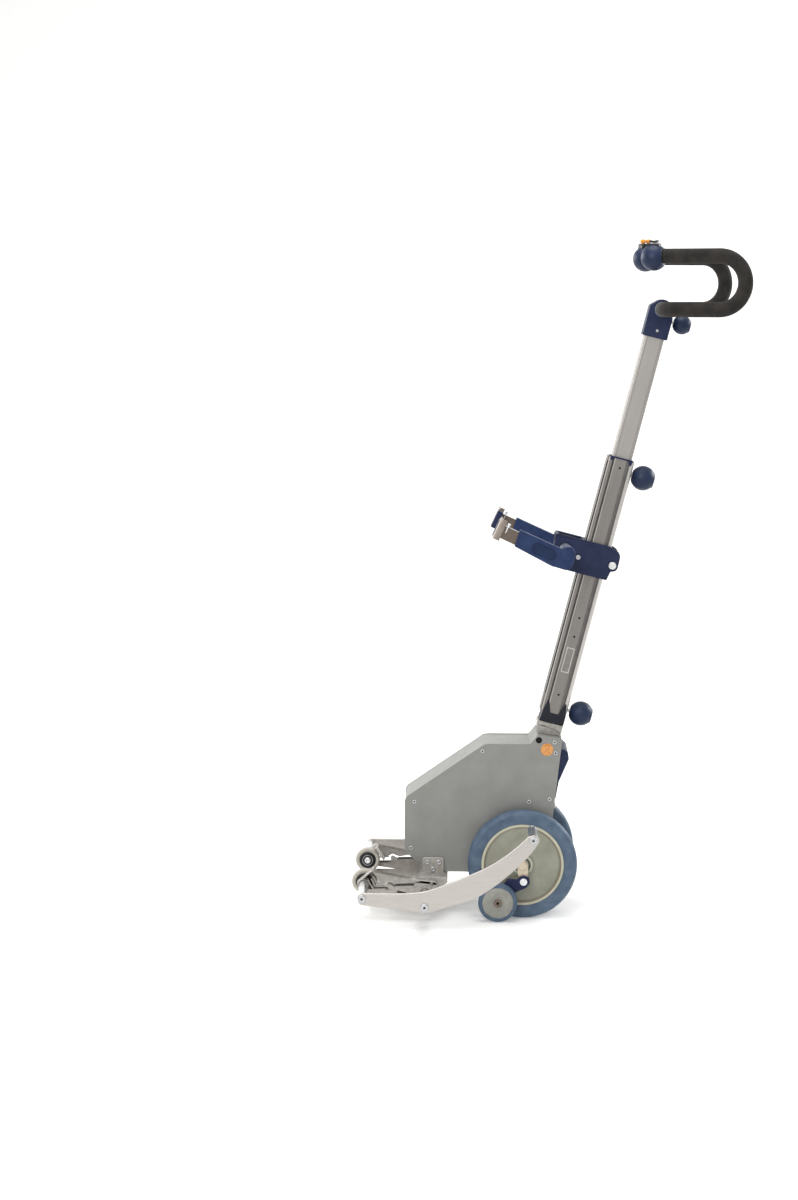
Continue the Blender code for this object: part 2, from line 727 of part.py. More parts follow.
def gearbox_housing(drive, mats):
    """Round casing with a neck for the worm; the shaft bores keep its inside open."""
    low, high, reach = neck_span()
    top = GEARBOX_RADIUS
    steps = 16
    points = [(-reach, low)]
    sweep_start = math.pi - math.asin(low / top)
    sweep_end = 2 * math.pi + math.radians(70)
    for k in range(steps + 1):
        a = sweep_start + (sweep_end - sweep_start) * k / steps
        points.append((top * math.cos(a), top * math.sin(a)))
    points += [(0.012, high), (-reach, high)]
    half = GEARBOX_WIDTH / 2
    housing = piece("gearbox_housing", prism(points, -half, half), mats["cast"], drive)
    room = WORM_WHEEL_RADIUS + 0.002
    bore = CRANK_SHAFT_RADIUS + GAP
    inside = half - GEARBOX_WALL
    cavity = turned([(0, -half - 0.01), (bore, -half - 0.01), (bore, -inside), (room, -inside),
                     (room, inside), (bore, inside), (bore, half + 0.01), (0, half + 0.01)], 24)
    cut(housing, cutter("gear cavity", cavity, drive))
    channel = rod(WORM_RADIUS + WORM_THREAD + 0.001, -reach - 0.01, 0.022, 16, "X",
                  (0, 0, worm_distance()))
    cut(housing, cutter("worm channel", channel, drive))


def worm_shaft(drive, mats):
    """Worm: a shaft with a helical thread under the wheel, driven from the motor's end."""
    axis = frame("worm axis", drive, (0, 0, worm_distance()))
    _, _, reach = neck_span()
    turns = 3
    pitch = 2 * math.pi * WORM_WHEEL_RADIUS / WORM_WHEEL_TEETH
    half = turns * pitch / 2
    per_turn = 8
    bm = bmesh.new()
    sections = []
    count = turns * per_turn
    for i in range(count + 1):
        x = -half + 2 * half * i / count
        fade = min(1.0, i / per_turn, (count - i) / per_turn)
        ring = []
        for k in range(per_turn):
            phase = (k / per_turn - x / pitch) % 1.0
            crest = 1.0 if phase < 0.45 else 0.0
            radius = WORM_RADIUS + WORM_THREAD * crest * fade
            a = 2 * math.pi * k / per_turn
            ring.append(bm.verts.new((x, radius * math.cos(a), radius * math.sin(a))))
        sections.append(ring)
    for near, far in zip(sections, sections[1:]):
        for k in range(per_turn):
            after = (k + 1) % per_turn
            bm.faces.new((near[k], near[after], far[after], far[k]))
    for ring in (sections[0], sections[-1]):
        bm.faces.new(ring)
    shaft = piece("worm_shaft", bm, mats["steel"], axis)
    tail = rod(WORM_SHAFT_RADIUS, -reach + 0.001, -half + 0.004, 10, "X")
    join(shaft, cutter("worm tail", tail, axis))


def lift_motor(drive, mats):
    """A round motor flanged to the end of the gearbox's neck."""
    _, _, reach = neck_span()
    start = -reach - GAP
    profile = [(0, start), (MOTOR_RADIUS, start), (MOTOR_RADIUS, start - 0.008),
               (MOTOR_RADIUS - 0.002, start - 0.009), (MOTOR_RADIUS - 0.002, start - MOTOR_LENGTH + 0.010),
               (MOTOR_RADIUS - 0.005, start - MOTOR_LENGTH), (0.010, start - MOTOR_LENGTH),
               (0, start - MOTOR_LENGTH)]
    piece("lift_motor", turned(profile, SMALL_STEPS, "X"), mats["black"], drive, (0, 0, worm_distance()))


def motor_controller(base, mats):
    """Potted controller against the right side plate, above the motor."""
    wall = BOX_WIDTH / 2 - PLATE_THICKNESS - GAP
    body = prism(rounded([(-0.150, 0.292, 0.002), (-0.150, 0.332, 0.002), (-0.042, 0.332, 0.002),
                          (-0.042, 0.292, 0.002)], 1), wall - 0.034, wall)
    piece("motor_controller", body, mats["board"], base)


# Battery
def battery_pack(base, mats):
    """The pack rests on the crown of the wheel well and slides out to the rear."""
    pack = frame("battery", base)
    half = BOX_WIDTH / 2 - PLATE_THICKNESS - 0.0015
    bottom = WHEEL_RADIUS + well_radius() + SHELL_THICKNESS + GAP
    outline = rounded([
        (BATTERY_FRONT, bottom, 0.003), (BATTERY_FRONT, BATTERY_TOP, 0.004),
        (BATTERY_REAR, BATTERY_TOP, 0.008), (0.1010, 0.3690, 0.004), (0.1034, 0.3535, 0.006),
        (0.0915, 0.3260, 0.020), (0.0810, 0.3015, 0.010), (0.0745, bottom, 0.002),
    ])
    case = piece("battery_case", prism(outline, -half, half), mats["navy"], pack)
    wall = BATTERY_WALL
    room = prism(rectangle(BATTERY_FRONT + wall, bottom + wall,
                           BATTERY_REAR - BATTERY_DEEP, BATTERY_TOP - wall), -half + wall, half - wall)
    cut(case, cutter("battery room", room, pack))
    vent = rod(0.003, BATTERY_FRONT - 0.01, BATTERY_FRONT + 0.01, 8, "X", (0, 0, (bottom + BATTERY_TOP) / 2))
    cut(case, cutter("battery vent", vent, pack))
    clear = wall + GAP
    cells = prism(rectangle(BATTERY_FRONT + clear, bottom + clear, BATTERY_REAR - BATTERY_DEEP - GAP,
                            BATTERY_TOP - clear - 0.004), -half + clear, half - clear)
    piece("battery_cells", cells, mats["grey"], pack)


# Wheelchair platform
def platform_outline():
    """The curved side plate: round ends on the front bolt and the rear peg, a belly at the middle one."""
    return rounded([
        (0.0085, 0.2232, 0.010), (-0.0525, 0.1690, 0.060), (-0.1505, 0.1232, 0.120), (-0.2160, 0.0990, 0.090),
        (-0.2625, 0.0948, 0.050), (-0.3620, 0.0955, 0.0115), (-0.3620, 0.0700, 0.0115),
        (-0.2260, 0.0530, 0.015), (-0.2040, 0.0530, 0.015), (-0.1010, 0.0868, 0.080),
        (-0.0460, 0.1270, 0.120), (0.0105, 0.1795, 0.100), (0.0335, 0.2140, 0.010), (0.0240, 0.2270, 0.010),
    ], 2)


def platform_bolt_places():
    return [(FRONT_TUBE_X, FRONT_TUBE_Z), (MIDDLE_TUBE_X, MIDDLE_TUBE_Z), (REAR_PEG_X, REAR_PEG_Z)]


def roller_faces():
    inner = BOX_WIDTH / 2 + ROLLER_INSET
    return inner, inner + ROLLER_WIDTH


def arm_faces():
    inner = roller_faces()[1] + ROLLER_CLEARANCE
    return inner, inner + ARM_THICKNESS


def platform_side(side, sign, base, mats):
    """One side: the plate, two tubes that slide in the arms, the peg behind the chair's wheel."""
    whole = frame("platform " + side, base)
    outer = PLATFORM_HALF_WIDTH
    inner = outer - PLATFORM_PLATE
    holes = [circle(x, z, PLATFORM_BOLT_RADIUS + GAP, 10) for x, z in platform_bolt_places()]
    bm = prism(platform_outline(), *sorted((sign * inner, sign * outer)), holes=holes)
    piece("platform_plate_" + side, bm, mats["silver"], whole)
    starts = (arm_faces()[1] - TUBE_SEAT, TUBE_START)
    for name, start, (x, z) in zip(("front_tube_", "middle_tube_"), starts, platform_bolt_places()):
        wall = TUBE_RADIUS - TUBE_WALL
        shape = [(0, inner - 0.020), (wall, inner - 0.020), (wall, start), (TUBE_RADIUS, start),
                 (TUBE_RADIUS, inner - GAP), *bolt_profile(inner, outer)]
        tube = turned([(r, sign * y) for r, y in shape], PIN_STEPS)
        piece(name + side, tube, mats["steel"], whole, (x, 0, z))
    shape = [(0, REAR_PEG_INNER), (PEG_RADIUS * 0.7, REAR_PEG_INNER + 0.0015),
             (PEG_RADIUS, REAR_PEG_INNER + 0.007), (PEG_RADIUS, inner - GAP), *bolt_profile(inner, outer)]
    piece("rear_peg_" + side, turned([(r, sign * y) for r, y in shape], PIN_STEPS), mats["steel"], whole,
          (REAR_PEG_X, 0, REAR_PEG_Z))


def bolt_profile(inner, outer):
    """The bolt through the plate, from a tube's end to the top of its head."""
    face = outer + GAP
    return [(PLATFORM_BOLT_RADIUS, inner - GAP), (PLATFORM_BOLT_RADIUS, face), (PLATFORM_BOLT_HEAD, face),
            (PLATFORM_BOLT_HEAD, face + 0.002), (0.005, face + 0.0035), (0, face + 0.0035)]


def cradle_corners():
    """The cradle's arm: a nose round the front tube, a peak and a valley, and a body under the box."""
    return [
        (-0.3690, 0.0870, 0.004), (-0.3345, 0.1158, 0.004), (-0.3120, 0.0860, 0.004),
        (-0.2965, 0.0946, 0.004), (-0.2800, 0.0886, 0.006), (-0.2380, 0.0950, 0.008),
        (-0.1900, 0.0900, 0.008), (-0.1880, 0.0640, 0.010), (-0.2050, 0.0490, 0.010),
        (-0.2400, 0.0490, 0.010), (-0.2800, 0.0560, 0.010), (-0.3640, 0.0680, 0.010),
    ]


def guard_outline():
    """The wall behind a roller, along the arm's slope from its peak to its valley."""
    peak, valley = Vector(cradle_corners()[1][:2]), Vector(cradle_corners()[2][:2])
    slope = (peak - valley).normalized()
    setback = Vector((-slope.y, slope.x)) * GUARD_SETBACK
    ends = [valley.lerp(peak, 0.02) + setback, valley.lerp(peak, 0.90) + setback]
    return thick_line([tuple(end) for end in ends], GUARD_THICKNESS)


def bridge_outline():
    """The plate between the arms and the block below the box, round the bore of the middle tubes."""
    top = 0.0575
    block_top = 0.0960 - GAP
    low = MIDDLE_TUBE_Z - TUBE_RADIUS - SLEEVE_WALL
    front = MIDDLE_TUBE_X - TUBE_RADIUS - SLEEVE_WALL
    rear = MIDDLE_TUBE_X + TUBE_RADIUS + SLEEVE_WALL
    return rounded([
        (-0.3430, top, 0.002), (-0.3430, top - BRIDGE_THICKNESS, 0.002),
        (front - 0.004, top - BRIDGE_THICKNESS, 0.002), (front + 0.004, low, 0.004),
        (rear - 0.004, low, 0.004), (rear, low + 0.006, 0.004), (rear + 0.036, block_top - 0.012, 0.004),
        (rear + 0.036, block_top, 0), (front, block_top, 0), (front, top, 0),
    ], 1)


def platform_bracket(base, mats):
    """A cast cradle: two arms outside the rollers, a bridge below the box and lugs on its sides."""
    near, far = arm_faces()
    seat = far - TUBE_SEAT - PLATFORM_TRAVEL_IN - GAP
    front, middle = platform_bolt_places()[:2]
    bore = TUBE_RADIUS + GAP
    window = rounded([(-0.3000, 0.0700, 0.003), (-0.3000, 0.0820, 0.003), (-0.2820, 0.0760, 0.003),
                      (-0.2650, 0.0660, 0.003), (-0.2650, 0.0620, 0.003)], 1)
    body = piece("platform_bracket", prism(bridge_outline(), -near - 0.002, near + 0.002), mats["cast"], base)
    roller_near, _ = roller_faces()
    head = roller_near - GAP
    lug = BOX_WIDTH / 2 + GAP
    for side, sign in SIDES.items():
        arm = prism(rounded(cradle_corners(), 1), *sorted((sign * near, sign * far)), holes=[window])
        join(body, cutter("cradle arm " + side, arm, base))
        guard = prism(guard_outline(), *sorted((sign * (lug + GUARD_INSET), sign * (near + 0.001))))
        join(body, cutter("roller guard " + side, guard, base))
        plate = prism(rectangle(-0.2240, 0.0860, -0.1760, 0.1300),
                      *sorted((sign * lug, sign * (lug + LUG_THICKNESS))))
        join(body, cutter("cradle lug " + side, plate, base))
        pin = [(0, head - 0.0025), (ROLLER_PIN_HEAD, head - 0.0025), (ROLLER_PIN_HEAD, head),
               (STUB_RADIUS, head), (STUB_RADIUS, near + 0.001), (0, near + 0.001)]
        tool = turned([(r, sign * y) for r, y in pin], PIN_STEPS, centre=(front[0], 0, front[1]))
        join(body, cutter("roller pin " + side, tool, base))
        hole = rod(bore, *sorted((sign * seat, sign * (far + 0.01))), steps=PIN_STEPS,
                   centre=(front[0], 0, front[1]))
        cut(body, cutter("front seat " + side, hole, base))
    through = rod(bore, -far - 0.01, far + 0.01, PIN_STEPS, centre=(middle[0], 0, middle[1]))
    cut(body, cutter("middle bore", through, base))


def skate_roller(side, sign, base, mats):
    """A roller on the pin inside the arm, in line with the front tube."""
    near, far = roller_faces()
    hub = frame("skate " + side, base, (FRONT_TUBE_X, sign * (near + far) / 2, FRONT_TUBE_Z))
    half = ROLLER_WIDTH / 2
    profile = [(STUB_RADIUS + GAP, -half), (0.0150, -half), (0.0165, -half + 0.002),
               (ROLLER_RADIUS - 0.005, -half + 0.002), (ROLLER_RADIUS, -half + 0.005)]
    profile += [(r, -y) for r, y in reversed(profile)]
    piece("skate_roller_" + side, turned(profile, SMALL_STEPS), mats["roller"], hub)


# Column
def column_profile(depth, width, wall, corner, middle=0.0):
    outer = rounded([(middle - depth / 2, -width / 2, corner), (middle + depth / 2, -width / 2, corner),
                     (middle + depth / 2, width / 2, corner), (middle - depth / 2, width / 2, corner)], 2)
    inner = rectangle(middle - depth / 2 + wall, -width / 2 + wall,
                      middle + depth / 2 - wall, width / 2 - wall)
    return outer, inner


def column_faces():
    """The extrusion's front and rear face, along t."""
    return COLUMN_OFFSET - COLUMN_DEPTH / 2, COLUMN_OFFSET + COLUMN_DEPTH / 2


def column_knob_s():
    return COLUMN_TOP - COLUMN_KNOB_DROP


def outer_column(column, mats):
    """The aluminium extrusion, with a small hole row on its sides and bores for the two knobs."""
    outer, inner = column_profile(COLUMN_DEPTH, COLUMN_WIDTH, COLUMN_WALL, 0.008, COLUMN_OFFSET)
    tube = piece("outer_column", prism(outer, COLUMN_BOTTOM + GAP, COLUMN_TOP, "Z", [inner]),
                 mats["anodised"], column)
    _, rear = column_faces()
    bores = [rod(KNOB_STEM_RADIUS + GAP, rear - COLUMN_WALL - 0.002, rear + 0.005, 12, "X", (0, 0, s))
             for s in (LOWER_KNOB_S, column_knob_s())]
    side = COLUMN_WIDTH / 2
    bores += [rod(0.0025, -side - 0.001, side + 0.001, 8, "Y", (0.004, 0, s))
              for s in (0.0925, 0.2283, 0.2719)]
    cut(tube, cutter("column bores", merged(*bores), column))


def column_foot(column, mats):
    """Dark blue foot: a block under the extrusion, ears up its sides and a spigot below."""
    half = COLUMN_WIDTH / 2 + FOOT_SKIN
    front, rear = column_faces()
    notch = COLUMN_BOTTOM - 0.002
    block = [(-0.0240, FOOT_BOTTOM), (0.0320, FOOT_BOTTOM), (0.0320, notch), (0.0270, FOOT_EAR_TOP),
             (0.0240, FOOT_EAR_TOP), (0.0140, notch), (-0.0035, notch),
             (-0.0130, FOOT_EAR_TOP), (-0.0160, FOOT_EAR_TOP), (-0.0215, notch)]
    foot = piece("column_foot", prism(block, -half, half), mats["navy"], column)
    room = prism(rectangle(front - 0.01, -COLUMN_WIDTH / 2 - GAP, rear + 0.01, COLUMN_WIDTH / 2 + GAP),
                 COLUMN_BOTTOM, FOOT_EAR_TOP + 0.01, "Z")
    cut(foot, cutter("column seat", room, column))
    pin = SPIGOT_WIDTH / 2
    spigot = prism(rectangle(-pin + 0.003, -pin, pin + 0.003, pin), FOOT_BOTTOM - SPIGOT_DEPTH,
                   FOOT_BOTTOM + 0.004, "Z")
    join(foot, cutter("spigot", spigot, column))


def column_collar(column, mats):
    """Cap on the extrusion's top, with a skirt that guides the inner tube."""
    outer, _ = column_profile(COLUMN_DEPTH, COLUMN_WIDTH, COLUMN_WALL, 0.008, COLUMN_OFFSET)
    front, rear = column_faces()
    centre = INNER_OFFSET
    depth = INNER_DEPTH / 2 + GAP
    width = INNER_WIDTH / 2 + GAP
    hole = rectangle(centre - depth, -width, centre + depth, width)
    cap = piece("column_collar", prism(outer, COLUMN_TOP + GAP, COLUMN_TOP + COLLAR_HEIGHT, "Z", [hole]),
                mats["navy"], column)
    wall = COLUMN_WALL + GAP
    ring = rectangle(front + wall, -COLUMN_WIDTH / 2 + wall, rear - wall, COLUMN_WIDTH / 2 - wall)
    skirt = prism(ring, COLUMN_TOP - COLLAR_SKIRT, COLUMN_TOP + COLLAR_HEIGHT / 2, "Z", [hole])
    join(cap, cutter("collar skirt", skirt, column))
    stem = rod(KNOB_STEM_RADIUS + GAP, centre + depth - 0.002, rear, 12, "X", (0, 0, column_knob_s()))
    cut(cap, cutter("collar bore", stem, column))


def knob(name, parent, mats, t, s, radius, tip):
    """A ball knob with a flat outer end; its stem runs to the tip, where it presses."""
    axis = frame(name + " axis", parent, (0, 0, s))
    outer = t + radius * 0.90
    profile = [(0, tip), (KNOB_STEM_RADIUS, tip), (KNOB_STEM_RADIUS, t - radius * 0.97)]
    for degrees in (-66, -40, -12, 16, 40):
        a = math.radians(degrees)
        profile.append((radius * math.cos(a), t + radius * math.sin(a)))
    profile += [(radius * 0.58, outer), (0, outer + 0.001)]
    piece(name, turned(profile, SMALL_STEPS, "X"), mats["navy"], axis)


# Inner tube and handles
def inner_tube(slider, mats):
    outer, inner = column_profile(INNER_DEPTH, INNER_WIDTH, INNER_WALL, 0.006, INNER_OFFSET)
    piece("inner_tube", prism(outer, INNER_BOTTOM, INNER_TOP, "Z", [inner]), mats["anodised"], slider)


def handle_head(slider, mats):
    """Dark blue head: a socket for the inner tube below a round eye for the handle tube."""
    top = [(HANDLE_T + HEAD_RADIUS * math.cos(a), HANDLE_S + HEAD_RADIUS * math.sin(a))
           for a in (math.radians(18 + k * 18) for k in range(7))]
    outline = [(HEAD_FRONT, HEAD_BOTTOM), (HEAD_REAR, HEAD_BOTTOM), (HEAD_REAR, 0.9620), *top,
               (HEAD_FRONT, HEAD_SHOULDER)]
    half = HEAD_WIDTH / 2
    hole = circle(HANDLE_T, HANDLE_S, HANDLE_TUBE_RADIUS + GAP, 16)
    head = piece("handle_head", prism(outline, -half, half, holes=[hole]), mats["navy"], slider)
    depth = INNER_DEPTH / 2 + GAP
    width = INNER_WIDTH / 2 + GAP
    socket = prism(rectangle(INNER_OFFSET - depth, -width, INNER_OFFSET + depth, width),
                   HEAD_BOTTOM - 0.01, INNER_TOP + GAP, "Z")
    cut(head, cutter("tube socket", socket, slider))
    stem = rod(KNOB_STEM_RADIUS + GAP, HEAD_REAR - 0.013, HEAD_REAR + 0.01, 12, "X", (0, 0, HEAD_KNOB_S))
    cut(head, cutter("head knob bore", stem, slider))


def handle_route(sign, bend_steps=4, loop_steps=9):
    """One handle's centre line from the head outwards, in base directions from the handle's axis."""
    spread = math.radians(HANDLE_SPREAD)
    heading = Vector((math.cos(spread), sign * math.sin(spread), 0))
    out = Vector((0, sign, 0))
    corner = Vector((0, sign * HANDLE_CORNER_Y, 0))
    turn = math.radians(90) - spread
    reach = HANDLE_CORNER * math.tan(turn / 2)
    centre = corner - out * reach + Vector((HANDLE_CORNER, 0, 0))
    first = arc(centre, corner - out * reach, Vector((0, 0, -sign)), math.degrees(turn), bend_steps)
    run = (LOOP_X - handle_x()) / math.cos(spread)
    low_end = corner + heading * run
    middle = low_end + Vector((0, 0, LOOP_RADIUS))
    across = heading.cross(Vector((0, 0, 1)))
    loop = arc(middle, low_end, across, 180, loop_steps)
    back = loop[-1] - heading * ((LOOP_X - BALL_X) / math.cos(spread))
    return first, loop, back


def handle_x():
    return column_point(HANDLE_T, HANDLE_S)[0]


def handle_tube(handles, mats):
    """One bent tube: ball, top bar, loop, low bar, through the head and the same on the other side."""
    halves = []
    for sign in (-1, 1):
        first, loop, back = handle_route(sign)
        halves.append([Vector((0, sign * GRIP_START, 0)), *first, *loop, back])
    path = list(reversed(halves[0])) + halves[1]
    bm = swept(path, HANDLE_TUBE_RADIUS, HANDLE_TUBE_WALL, 8)
    piece("handle_tube", bm, mats["steel"], handles)
    for side, sign in SIDES.items():
        first, loop, back = handle_route(sign)
        away = (loop[-1] - back).normalized()
        path = [Vector((0, sign * GRIP_START, 0)), *first, *loop,
                back + away * (BALL_RADIUS * 0.80)]
        sides = 10
        wall = GRIP_RADIUS - (HANDLE_TUBE_RADIUS + GAP) / math.cos(math.pi / sides)
        piece("grip_" + side, swept(path, GRIP_RADIUS, wall, sides), mats["foam"], handles)


def aligned(handles, name, origin, direction):
    """An empty at a point whose +X looks along a direction."""
    empty = frame(name, handles, origin)
    empty.rotation_euler = direction.to_track_quat("X", "Z").to_euler()
    return empty


def grip_ball(side, sign, handles, mats):
    """Ball end on the top bar, with a black housing for the switches on its crown."""
    _, loop, back = handle_route(sign)
    towards = (loop[-1] - back).normalized()
    place = aligned(handles, "ball " + side, back, towards)
    mouth = BALL_RADIUS * 0.78
    profile = [(0, -BALL_RADIUS)]
    profile += [(BALL_RADIUS * math.cos(math.radians(a)), BALL_RADIUS * math.sin(math.radians(a)))
                for a in (-65, -40, -12, 15, 38)]
    profile += [(BALL_RADIUS * 0.60, mouth), (0, mouth)]
    shape = turned(profile, SMALL_STEPS, "X", (0, 0, -BALL_DROP))
    ball = piece("grip_ball_" + side, shape, mats["navy"], place)
    top = LEFT_HOUSING if side == "left" else RIGHT_HOUSING
    crown = prism(rounded([(-0.015, 0.010, 0), (0.014, 0.010, 0), (0.013, top, 0.003),
                           (-0.014, top, 0.003)], 2), -0.011, 0.011)
    join(ball, cutter("switch housing " + side, crown, place))
    clear = rod(HANDLE_TUBE_RADIUS + GAP, -GAP, BALL_RADIUS, 16, "X")
    cut(ball, cutter("ball bore " + side, clear, place))
    return place, ball


def buttons(place, ball, mats):
    """Up and down buttons of the right hand: each slides in a blind hole in the housing."""
    lift = BUTTON_TRAVEL + GAP
    for name, x in (("down_button", -0.0070), ("up_button", 0.0064)):
        axis = frame(name + " axis", place, (x, 0, RIGHT_HOUSING))
        hole = rod(BUTTON_STEM_RADIUS + GAP, -BUTTON_STEM - lift, 0.01, 10, "Z")
        cut(ball, cutter(name + " hole", hole, axis))
        profile = [(0, -BUTTON_STEM), (BUTTON_STEM_RADIUS, -BUTTON_STEM), (BUTTON_STEM_RADIUS, lift),
                   (BUTTON_RADIUS, lift), (BUTTON_RADIUS, BUTTON_HEIGHT - 0.003),
                   (BUTTON_RADIUS - 0.002, BUTTON_HEIGHT), (0, BUTTON_HEIGHT + 0.0005)]
        piece(name, turned(profile, 10, "Z"), mats["orange"], axis)


def mode_rocker(place, mats):
    """Grey rocker of the left hand, pivoted across the housing."""
    axis = frame("rocker axis", place, (0, 0, LEFT_HOUSING + 0.003))
    outline = [(-0.0095, -0.0012), (0, -0.0024), (0.0095, -0.0012), (0.0095, 0.0040), (0.0, 0.0022),
               (-0.0095, 0.0040)]
    piece("mode_rocker", prism(outline, -0.0075, 0.0075), mats["grey"], axis)


# Clamp for the wheelchair's back tubes
def clamp_carriage(carriage, mats):
    """Cheeks on both sides of the column, joined in front of it; a pin behind it takes the pull."""
    outline = rounded([
        (CARRIAGE_FRONT, CARRIAGE_TOP, 0.004), (0.0280, CARRIAGE_TOP, 0.006), (0.0560, 0.4370, 0.018),
        (0.0570, 0.3945, 0.012), (0.0435, 0.3905, 0.004), (0.0395, CARRIAGE_BOTTOM, 0.003),
        (CARRIAGE_FRONT + 0.006, CARRIAGE_BOTTOM, 0.005),
    ])
    holes = [circle(CLAMP_PIN_T, CLAMP_PIN_S, CLAMP_PIN_RADIUS + GAP, 16),
             circle(CLAMP_TUBE_T, CLAMP_TUBE_S, CLAMP_TUBE_RADIUS + GAP, ROUND_STEPS)]
    body = piece("clamp_carriage", prism(outline, -CARRIAGE_HALF_WIDTH, CARRIAGE_HALF_WIDTH, holes=holes),
                 mats["navy"], carriage)
    side = COLUMN_WIDTH / 2 + CARRIAGE_CLEARANCE
    front = column_faces()[0] - CARRIAGE_CLEARANCE
    slot = prism(rectangle(front, -side, 0.080, side), CARRIAGE_BOTTOM - 0.01, CARRIAGE_TOP + 0.01, "Z")
    cut(body, cutter("column slot", slot, carriage))
    well = prism(rectangle(CARRIAGE_FRONT + 0.006, -0.030, front - 0.006, 0.030),
                 CLAMP_TUBE_S + CLAMP_TUBE_RADIUS + 0.0035, CARRIAGE_TOP + 0.01, "Z")
    cut(body, cutter("carriage well", well, carriage))


def clamp_tube(carriage, mats):
    end = LEVER_Y + LEVER_THICKNESS / 2 - 0.003
    bm = pipe(CLAMP_TUBE_RADIUS, CLAMP_TUBE_WALL, -end, end, ROUND_STEPS,
              centre=(CLAMP_TUBE_T, 0, CLAMP_TUBE_S))
    piece("clamp_tube", bm, mats["steel"], carriage)


def carriage_pin(carriage, mats):
    """The thick pin behind the column."""
    end = CARRIAGE_HALF_WIDTH + 0.001
    pin = rod(CLAMP_PIN_RADIUS, -end, end, 16, centre=(CLAMP_PIN_T, 0, CLAMP_PIN_S))
    piece("carriage_pin", pin, mats["steel"], carriage)


def lever_outline():
    """The lever from its free end to the deep rounded block at its pivot."""
    return rounded([
        (-LEVER_REACH, LEVER_TOP, 0.002), (-0.0195, LEVER_TOP + 0.0005, 0.004), (-0.0125, 0.0172, 0.008),
        (0.0150, 0.0178, 0.010), (0.0235, -0.0200, 0.014), (0.0140, 0.0025 - LEVER_BOTTOM, 0.010),
        (-0.0220, -LEVER_BOTTOM - 0.0028, 0.020), (-LEVER_REACH + 0.0045, 0.0020 - LEVER_BOTTOM, 0.002),
    ])


def clamp_lever(side, sign, carriage, mats):
    """A lever that swings on the clamp tube, with a channel for the hook's flat bar."""
    pivot = frame("lever " + side, carriage, (CLAMP_TUBE_T, 0, CLAMP_TUBE_S), LEVER_LIFT)
    half = LEVER_THICKNESS / 2
    middle = sign * LEVER_Y
    body = piece("clamp_lever_" + side, prism(lever_outline(), middle - half, middle + half),
                 mats["blue"], pivot)
    deep = LEVER_Y + half - 0.003 + GAP
    inner = LEVER_Y - half - LEVER_SLEEVE_LENGTH
    sleeve = rod(CLAMP_TUBE_RADIUS + LEVER_SLEEVE_WALL, *sorted((sign * inner, sign * LEVER_Y)),
                 steps=ROUND_STEPS)
    join(body, cutter("lever sleeve " + side, sleeve, pivot))
    socket = rod(CLAMP_TUBE_RADIUS + GAP, *sorted((sign * (inner - 0.01), sign * deep)),
                 steps=ROUND_STEPS)
    cut(body, cutter("lever socket " + side, socket, pivot))
    bar = HOOK_BAR_THICKNESS / 2 + GAP
    tall = HOOK_BAR_HEIGHT / 2 + GAP
    depth = HOOK_BAR_START - HOOK_SLIDE_IN - 0.002
    channel = prism(rectangle(-LEVER_REACH - 0.02, -HOOK_BAR_DROP - tall, -depth, -HOOK_BAR_DROP + tall),
                    middle - bar, middle + bar)
    cut(body, cutter("bar channel " + side, channel, pivot))
    hook(side, sign, pivot, mats)


def hook(side, sign, pivot, mats):
    """Silver hook: a bar in the lever, an outer sheet, and a flange with a pad round the back tube."""
    slider = frame("hook slide " + side, pivot)
    middle = sign * LEVER_Y
    bar = HOOK_BAR_THICKNESS / 2
    half = HOOK_BAR_HEIGHT / 2
    front = -HOOK_JAW_FACE - HOOK_SHEET
    bm = prism(rectangle(-HOOK_JAW_FACE, -HOOK_BAR_DROP - half, -HOOK_BAR_START, -HOOK_BAR_DROP + half),
               middle - bar, middle + bar)
    body = piece("hook_" + side, bm, mats["silver"], slider)
    outer = LEVER_Y + bar + HOOK_SHEET
    low = -HOOK_JAW_DROP - HOOK_JAW_HEIGHT / 2
    high = -HOOK_JAW_DROP + HOOK_JAW_HEIGHT / 2
    back = front + HOOK_JAW_WIDTH
    sheet = prism(rounded([(front, low, 0), (back, low, 0.004), (back, high, 0.004), (front, high, 0)], 2),
                  *sorted((sign * (LEVER_Y + bar - 0.002), sign * outer)))
    join(body, cutter("jaw sheet " + side, sheet, slider))
    flange = prism(rectangle(front, low, -HOOK_JAW_FACE, high),
                   *sorted((sign * (outer - HOOK_JAW_DEPTH), sign * outer)))
    join(body, cutter("jaw flange " + side, flange, slider))
    pad_low = low + 0.001
    inner = outer - HOOK_JAW_DEPTH - HOOK_PAD_OVERHANG
    pad = prism(rectangle(front - HOOK_PAD_SKIN, pad_low, HOOK_PAD_THICKNESS - HOOK_JAW_FACE,
                          pad_low + HOOK_PAD_HEIGHT),
                *sorted((sign * inner, sign * (inner + HOOK_PAD_WIDTH))))
    join(body, cutter("jaw pad " + side, pad, slider))


def build_base(base, mats):
    drive = drive_frame("drive", base)
    side_plates(base, mats)
    base_shell(base, drive, mats)
    foot_bracket(base, mats)
    main_axle(base, mats)
    motor_controller(base, mats)
    battery_pack(base, mats)
    gearbox_housing(drive, mats)
    lift_motor(drive, mats)
    worm_shaft(drive, mats)
    worm_wheel(lift_crank(base, mats), mats)
    platform_bracket(base, mats)
    for side, sign in SIDES.items():
        main_wheel(side, sign, base, mats)
        brake_link(side, sign, base, mats)
        brake_arm(side, sign, base, mats)
        platform_side(side, sign, base, mats)
        skate_roller(side, sign, base, mats)


